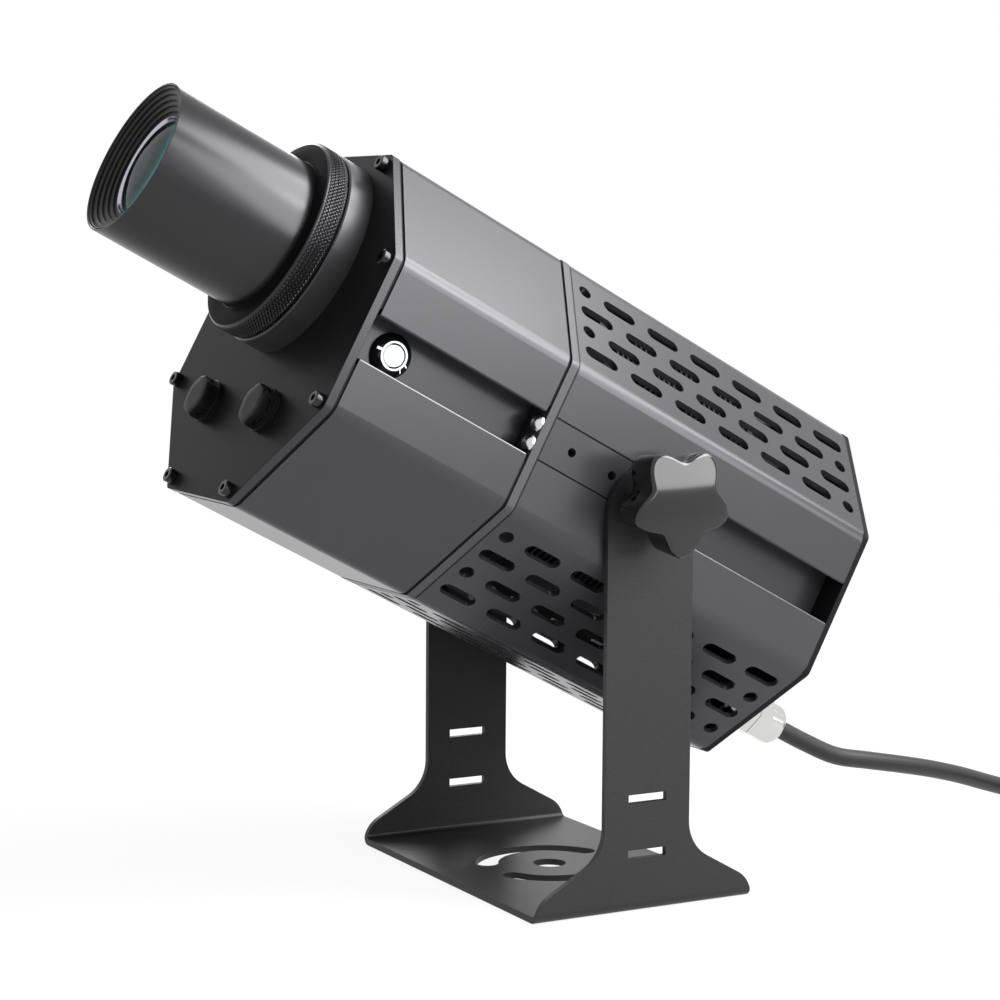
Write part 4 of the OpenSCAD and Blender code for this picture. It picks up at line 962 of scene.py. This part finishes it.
@dataclass
class PowerButton(SubAssembly):
    """The push button in the near groove: a glossy bezel, a ring and a white cap with painted glow, and
    painted glints.

    Sizes are in millimetres, and heights start from the groove's floor. A glint mark is an angle in degrees
    and a width.
    """

    floor_x: float = 70.0
    middle_u: float = 139.0
    bezel_radius: float = 9.9
    bezel_height: float = 4.2
    bezel_edge: float = 2.2
    cap_radius: float = 5.4
    thread_radius: float = 8.0
    body_length: float = 22.0
    cap_rise: float = 0.4
    cap_play: float = 0.6
    glint_length: float = 1.9
    glint_lift: float = 0.12
    glint_sunk: float = 0.3
    glint_marks: Sequence[tuple[float, float]] = ((0.0, 1.2), (142.0, 0.45), (168.0, 0.6))

    def axis(self) -> Axis:
        """The button's middle line, outwards from the groove's floor."""
        point = HEAD.place(self.floor_x * MM, self.middle_u * MM, 0.0)
        return Axis(tuple(point), (1.0, 0.0, 0.0), tuple(HEAD.forwards()))

    def painted_glints(self) -> bpy.types.Object:
        """Painted glints: short glowing marks on the bezel's slope, each a small block that runs out from the
        ring.

        A glint mark has eight corners, at two heights, two radii and two sides. A side stands off the mark's
        middle by half its width over the radius, and the height falls with the bezel's slope.

        Returns:
            The three painted glint marks as one piece.
        """
        marks = np.array(self.glint_marks)
        middle, width = np.radians(marks[:, 0])[:, None, None], marks[:, 1][:, None, None]
        start, slope_from = self.cap_radius + 1.2, self.cap_radius + 1.3
        slope = (self.bezel_height - self.bezel_edge) / (self.bezel_radius - 0.8 - slope_from)
        radius = start + self.glint_length * np.array([0, 0, 1, 1])
        side = np.array([-1, 1, 1, -1])
        depth = np.array([-self.glint_sunk, self.glint_lift])[:, None]
        height = self.bezel_height - slope * (radius - slope_from) + depth
        points = self.axis().cylinder_point(middle + side * width / (2 * radius), radius * MM, height * MM)
        k = np.arange(4)
        sides = np.stack([k, 4 + k, 4 + (k + 1) % 4, (k + 1) % 4], axis=1)
        glint = np.concatenate([[[0, 1, 2, 3], [4, 7, 6, 5]], sides])
        faces = (glint[None] + 8 * np.arange(len(marks))[:, None, None]).reshape(-1, 4)
        return make_mesh("button_painted_glints", points, faces)

    def build(self) -> None:
        """Makes the bezel, the ring, the painted glint marks and the cap."""
        top, wide, inner = self.bezel_height, self.bezel_radius, self.cap_radius
        well, cap_r, rise = inner + 0.1, inner - self.cap_play, top + self.cap_rise
        bezel = [(-self.body_length, well), (-self.body_length, self.thread_radius), (0, self.thread_radius),
                 (0, wide - 0.15), (0.15, wide), (1.1, wide), (1.4, wide - 0.15),
                 (self.bezel_edge, wide - 0.8), (top - 0.15, inner + 1.45), (top, inner + 1.2),
                 (top - 0.2, inner + 1.1), (top - 0.2, well)]
        ring = [(top - 0.2, well + 0.12), (top - 0.2, inner + 1.08), (top + 0.05, inner + 1.05),
                (top + 0.2, inner + 0.7), (top + 0.05, well + 0.16)]
        cap = [(top - 4, 0.0), (top - 4, cap_r), (rise - 0.7, cap_r), (rise - 0.3, cap_r - 0.12),
               (rise - 0.08, cap_r - 0.45), (rise, cap_r - 1.0), (rise + 0.2, cap_r / 2), (rise + 0.3, 0.0)]
        axis = self.axis()
        self.shop.add(turned("button_bezel", axis, bezel, 96), Body.HEAD, "button_bezel", "bezel_gloss",
                      ["button_body"])
        # The ring, and the cap below, glow with painted light.
        self.shop.add(turned("button_ring", axis, ring, 96), Body.HEAD, "lit_cap", "lit_cap")
        # Painted reflections: glowing marks where bright glints fall on the bezel.
        self.shop.add(self.painted_glints(), Body.HEAD, "lit_cap", "lit_cap")
        self.shop.add(turned("button_lit_cap", axis, cap, 96, closed=False), Body.BUTTON, "lit_cap",
                      "lit_cap", ["button_cap"])
        self.shop.dress_nodes({"button_nut": "stainless"})


@dataclass
class BreatherPlug(SubAssembly):
    """The front plate's breather plugs: a round flange and a bevelled hexagon with a slot in each flat.

    Sizes are in millimetres, angles in degrees, and heights start from the plug's seal.
    """

    places: Sequence[float] = (32.0, -32.0)
    middle_v: float = -42.0
    seat_u: float = 164.6
    thread_radius: float = 6.0
    thread_length: float = 14.0
    thread_chamfer: float = 0.5
    flange_radius: float = 10.5
    flange_thick: float = 1.6
    across_flats: float = 18.0
    first_flat: float = 10.0
    height: float = 7.8
    bevel: float = 0.5
    corner_trim: float = 0.4
    trim_slope: float = 0.63
    slot_from: float = 3.0
    slot_to: float = 4.8
    slot_half: float = 3.0
    slot_depth: float = 1.2
    columns: int = 480

    def rings(self) -> tuple[np.ndarray, np.ndarray]:
        """The heights and radii of one plug's grid.

        The hexagon's radius is half its width across flats over the cosine of the angle from the nearest
        flat's middle. A cone trims its corners at the face, and the slots are cut where a flat's sideways
        distance is less than the slot's half length.

        Returns:
            The height of each row, and its radii all round.
        """
        angle = np.linspace(0, TURN, self.columns, endpoint=False)
        off = (angle - math.radians(self.first_flat) + TURN / 12) % (TURN / 6) - TURN / 12
        flat = self.across_flats / 2
        hexagon = flat / np.cos(off)
        slot = np.where(np.abs(flat * np.tan(off)) < self.slot_half, self.slot_depth, 0.0)

        def trimmed(height: float) -> np.ndarray:
            """The hexagon inside the cone at a height."""
            return np.minimum(hexagon, flat + self.corner_trim + (self.height - height) * self.trim_slope)

        one = np.ones_like(angle)
        top, step, bevel, hair = self.height, self.flange_thick, self.bevel, 0.01
        thread, flange, chamfer = self.thread_radius, self.flange_radius, self.thread_chamfer
        rows = [(-self.thread_length, 0 * one), (-self.thread_length, (thread - chamfer) * one),
                (chamfer - self.thread_length, thread * one), (0.0, thread * one),
                (0.0, (flange - 0.25) * one), (0.25, flange * one), (step - 0.3, flange * one),
                (step, (flange - 0.3) * one), (step, hexagon), (self.slot_from - hair, hexagon),
                (self.slot_from, hexagon - slot), (self.slot_to, hexagon - slot),
                (self.slot_to + hair, hexagon)]
        rows += [(at, trimmed(at)) for at in np.linspace(self.slot_to + 0.6, top - bevel, 5)]
        rows += [(top - bevel * 0.3, trimmed(top) - bevel * 0.3), (top, trimmed(top) - bevel)]
        rows += [(top, (trimmed(top) - bevel) * share) for share in (0.6, 0.0)]
        heights, radii = zip(*rows)
        return np.array(heights), np.stack(radii)

    def build(self) -> None:
        """Makes both plugs as one piece."""
        height, radius = self.rings()
        angle = np.linspace(0, TURN, self.columns, endpoint=False)[None, :]
        seats = [HEAD.axis_at(x * MM, self.seat_u * MM, self.middle_v * MM) for x in self.places]
        points = np.stack([seat.cylinder_point(angle, radius * MM, height[:, None] * MM) for seat in seats])
        faces = [grid_faces(*radius.shape, False, True, n * radius.size) for n in range(len(seats))]
        piece = make_mesh("breather_hexagons", points, np.concatenate(faces), 30.0)
        self.shop.add(piece, Body.HEAD, "black_aluminium", "plug_black", ["breather_plugs"])


@dataclass
class GrooveLips(SubAssembly):
    """The rounded lower lips of the side grooves, in a lighter bare metal that paints a highlight line along
    them.

    Sizes are in millimetres, and a span is a part's first and last station along the head.
    """

    side_x: float = 85.0
    mouth_v: float = 10.3
    lip_round: float = 0.6
    sides: int = 24
    spans: dict[str, tuple[float, float]] = field(default_factory=lambda: {
        "front": (66.0, 157.6), "rear": (-119.6, 13.8)})

    def build(self) -> None:
        """Lays a rod in each lip's bevel, so that a round edge stands in place of the corner."""
        inset, down = self.side_x - self.lip_round, self.mouth_v + self.lip_round
        for part, (start, end) in self.spans.items():
            for side, name in ((1, "near"), (-1, "far")):
                path = HEAD.place(side * inset * MM, np.array([start, end]) * MM, -down * MM)
                rod = tube(f"{name}_{part}_lip", path, self.lip_round * MM, self.sides)
                # The lighter metal paints the lip's highlight line.
                self.shop.add(rod, Body.HEAD, "anodised_housing", "lip_highlight_metal")


@dataclass
class Head(SubAssembly):
    """The octagonal head's plates, gaskets, housings, vents, screws, gland and light engine."""

    finishes: dict[str, str] = field(default_factory=lambda: {
        "front_plate": "plate_anodised", "front_gasket": "gasket_rubber", "front_plate_screws": "black_screw",
        "front_housing": "housing_anodised", "mid_gasket": "gasket_rubber", "mid_plate": "mid_plate_anodised",
        "mid_plate_screws": "black_screw", "groove_bars": "bar_anodised", "bar_end_screws": "stainless",
        "bar_grub_screws": "black_screw", "sliding_nuts": "bar_anodised", "rear_housing": "housing_anodised",
        "rear_plate": "plate_anodised", "rear_plate_screws": "black_screw",
        "breather_seals": "gasket_rubber", "breather_nuts": "black_screw", "gland_body": "nickel",
        "gland_nut": "nickel", "gland_seal": "gasket_rubber", "gland_locknut": "nickel",
        "heat_sink": "fin_anodised", "heat_sink_posts": "stainless", "fan_frame": "moulded_black",
        "fan_rotor": "moulded_black", "inner_screws": "stainless", "led_driver": "driver_case"})

    def build(self) -> None:
        """Dresses the head's carried-over nodes."""
        self.shop.dress_nodes(self.finishes)


@dataclass
class HeadBands(SubAssembly):
    """Thin bands round the head: the front plate's machined edge, and painted shade at the joint behind the
    middle plate.

    Sizes are in millimetres. A band is given by its back and front stations and the radius of its corners.
    """

    half_width: float = 85.0
    half_height: float = 86.0
    corner_cut: float = 50.0
    proud: float = 0.03
    depth: float = 0.3
    corner_steps: int = 7
    plate_edge: tuple[float, float, float] = (159.75, 163.5, 4.0)
    joint_shadow_line: tuple[float, float, float] = (59.15, 59.99, 9.0)

    def outline(self, corner_radius: float, offset: float) -> np.ndarray:
        """The head's octagon, rounded at its corners and moved outwards.

        The sides face every eighth of a turn. A corner's arc turns from one side's direction to the next
        about a point that lies the arc's radius inside both sides.

        Args:
            corner_radius: the radius of the corners.
            offset: how far out the outline is moved.

        Returns:
            Points of (x, v), one a row.
        """
        w, h, eighth = self.half_width, self.half_height, TURN / 8
        total = w + h - self.corner_cut
        quarter = np.array([[w, total - w], [total - h, h]])
        corners = np.concatenate([quarter, quarter[::-1] * [-1, 1], quarter * -1, quarter[::-1] * [1, -1]])
        start = np.arange(8)[:, None] * eighth
        angle = start + np.linspace(0, eighth, self.corner_steps)[None, :]
        end = start + eighth
        both = np.stack([np.cos(start) + np.cos(end), np.sin(start) + np.sin(end)], axis=-1)
        middle = corners[:, None, :] - corner_radius * both / (1 + math.cos(eighth))
        arc = np.stack([np.cos(angle), np.sin(angle)], axis=-1) * (corner_radius + offset)
        return (middle + arc).reshape(-1, 2)

    def band(self, name: str, back: float, front: float, corner_radius: float) -> bpy.types.Object:
        """A closed band along the head, a hair proud of the surface that it lies on.

        Args:
            name: the piece's name.
            back: its back station.
            front: its front station.
            corner_radius: the radius of its corners.

        Returns:
            The band.
        """
        outside, inside = self.outline(corner_radius, self.proud), self.outline(corner_radius, -self.depth)
        lines = np.stack([inside, outside, outside, inside])
        station = np.array([back, back, front, front])[:, None]
        points = HEAD.place(lines[..., 0] * MM, station * MM, lines[..., 1] * MM)
        return make_mesh(name, points, grid_faces(*lines.shape[:2], True, True), 30.0)

    def build(self) -> None:
        """Makes both bands."""
        edge = self.band("front_plate_edge", *self.plate_edge)
        self.shop.add(edge, Body.HEAD, "anodised_plate", "edge_anodised")
        # Painted shade: a dark rubber strip stands for the shade in the thin gap behind the middle plate.
        joint = self.band("joint_shadow_line", *self.joint_shadow_line)
        self.shop.add(joint, Body.HEAD, "seal_rubber", "gasket_rubber")


@dataclass
class Yoke(SubAssembly):
    """The sheet steel bracket with its discs and washers."""

    def build(self) -> None:
        """Dresses the bracket and what sits on its pivots."""
        self.shop.dress_nodes({"yoke_bracket": "powder_coat", "friction_discs": "fibre_disc",
                               "knob_washers": "stainless"})


# Studio


@dataclass
class Camera:
    """The camera at the photograph's place: how far round, how high, how far off and how rolled.

    Its aim is moved by the slide, which is rightwards and upwards in the picture.
    """

    azimuth: float = math.radians(61.09)
    elevation: float = math.radians(5.95)
    distance: float = 1.2519
    aim: tuple[float, float, float] = (0.0, 0.0, 0.15)
    slide: tuple[float, float] = (-25.59 * MM, 31.24 * MM)
    roll: float = math.radians(0.41)
    focal_mm: float = 93.134
    sensor_mm: float = 36.0
    reach: float = 50.0

    def build(self) -> None:
        """Makes the camera and sets it as the scene's."""
        ca, sa = math.cos(self.azimuth), math.sin(self.azimuth)
        ce, se = math.cos(self.elevation), math.sin(self.elevation)
        back = Vector((sa * ce, -ca * ce, se))
        right = (-back).cross(Vector((0, 0, 1))).normalized()
        up = right.cross(-back)
        place = Vector(self.aim) + back * self.distance + right * self.slide[0] + up * self.slide[1]
        cr, sr = math.cos(self.roll), math.sin(self.roll)
        across = right * cr + up * sr
        upright = up * cr - right * sr
        data = bpy.data.cameras.new("photo_camera")
        data.lens = self.focal_mm
        data.sensor_width = self.sensor_mm
        data.clip_end = self.reach
        camera = bpy.data.objects.new("photo_camera", data)
        turn = Matrix((across, upright, back)).transposed()
        camera.matrix_world = Matrix.Translation(place) @ turn.to_4x4()
        bpy.context.scene.collection.objects.link(camera)
        bpy.context.scene.camera = camera


def background_rays(graph: Graph) -> bpy.types.NodeSocket:
    """A socket that is 1 on the rays that see the background: the camera's, gloss and glass.

    Args:
        graph: the graph that it is added to.

    Returns:
        The socket.
    """
    path = graph.node("LightPath", {}).outputs
    seen = path["Is Camera Ray"]
    for kind in ("Is Glossy Ray", "Is Transmission Ray"):
        seen = graph.math("MAXIMUM", seen, path[kind])
    return seen


@dataclass(frozen=True)
class SoftBox:
    """A square lamp: where it stands, what it looks at, how wide it is and its power in watts."""

    name: str
    place: tuple[float, float, float]
    aim: tuple[float, float, float]
    width: float
    power: float

    def build(self) -> None:
        """Makes the lamp."""
        data = bpy.data.lights.new(self.name, "AREA")
        data.shape = "SQUARE"
        data.size = self.width
        data.energy = self.power
        lamp = bpy.data.objects.new(self.name, data)
        way = Vector(self.aim) - Vector(self.place)
        lamp.location = self.place
        lamp.rotation_euler = way.to_track_quat("-Z", "Y").to_euler()
        bpy.context.scene.collection.objects.link(lamp)


@dataclass
class Studio:
    """A pale floor, a white surround and soft lamps.

    The surround is how strongly the world lights the object. The floor glows for the rays that see the
    background: by glow_near up to fade_from off the middle, and fully from fade_to on.
    """

    lamps: Sequence[SoftBox] = (
        SoftBox("back_box", (0.53, 0.73, 1.04), (0.0, -0.1, 0.3), 0.9, 27.0),
        SoftBox("side_box", (1.02, 0.5, 0.66), (0.0, -0.1, 0.3), 0.95, 19.0),
        SoftBox("high_box", (0.0, 0.9, 1.14), (0.0, 0.0, 0.25), 0.42, 4.4),
        SoftBox("near_fill", (1.4, 0.05, 0.55), (0.0, 0.0, 0.25), 0.6, 1.0),
        SoftBox("far_fill", (-1.3, 0.3, 0.8), (0.0, 0.0, 0.25), 0.8, 8.0),
        SoftBox("lens_strip", (-0.35, -1.15, 0.95), (0.0, -0.15, 0.3), 0.22, 2.0),
    )
    surround: float = 0.28
    floor_size: float = 12.0
    fade_from: float = 0.35
    fade_to: float = 1.1
    glow_near: float = 0.86
    paper_tone: float = 0.9
    paper_roughness: float = 0.7
    paper_specular: float = 0.2

    def world(self) -> None:
        """A world that the camera, gloss and glass see as white, and that lights the object more dimly."""
        world = bpy.data.worlds.new("white_surround")
        bpy.context.scene.world = world
        world.use_nodes = True
        graph = Graph(world.node_tree)
        strength = graph.node("MapRange", {"Value": background_rays(graph), "To Min": self.surround,
                                           "To Max": 1.0})
        graph.feed(graph.tree.nodes["Background"], {
            "Color": (1.0, 1.0, 1.0, 1.0), "Strength": strength.outputs["Result"]})

    def floor(self) -> None:
        """A wide pale floor, white to the camera but for the object's shadow."""
        half = self.floor_size / 2
        points = half * np.array([[-1.0, -1.0, 0.0], [1.0, -1.0, 0.0], [1.0, 1.0, 0.0], [-1.0, 1.0, 0.0]])
        floor = make_mesh("studio_floor", points, np.array([[0, 1, 2, 3]]))
        material, graph, paper = new_material("floor_paper")
        tone = self.paper_tone
        graph.feed(paper, {"Base Color": (tone, tone, tone, 1.0), "Roughness": self.paper_roughness,
                           "Specular IOR Level": self.paper_specular})
        glow = graph.node("Emission", {"Strength": 1.0})
        reach = graph.node("VectorMath", {0: graph.place()}, operation="LENGTH")
        fade = graph.node("MapRange", {"Value": reach.outputs["Value"], "From Min": self.fade_from,
                                       "From Max": self.fade_to, "To Min": self.glow_near, "To Max": 1.0})
        share = graph.math("MULTIPLY", background_rays(graph), fade.outputs["Result"])
        mixed = graph.node("MixShader", {"Fac": share, 1: paper.outputs["BSDF"], 2: glow.outputs["Emission"]})
        graph.feed(graph.tree.nodes["Material Output"], {"Surface": mixed.outputs["Shader"]})
        floor.data.materials.append(material)

    def build(self) -> None:
        """Sets the plain view, the world, the floor and the lamps."""
        bpy.context.scene.view_settings.view_transform = "Standard"
        self.world()
        self.floor()
        for lamp in self.lamps:
            lamp.build()


def main() -> None:
    """Builds the projector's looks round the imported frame."""
    logging.basicConfig(level=logging.INFO, format="%(name)s: %(message)s")
    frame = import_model()
    Camera().build()
    shop = Workshop(frame, Palette())
    for kind in (MainsCord, Yoke, Head, LensMount, PowerButton, BreatherPlug, GrooveLips, HeadBands):
        kind(shop).build()
    for side in (1, -1):
        StarKnob(shop, side=side).build()
    Studio().build()


if __name__ == "__main__":
    main()
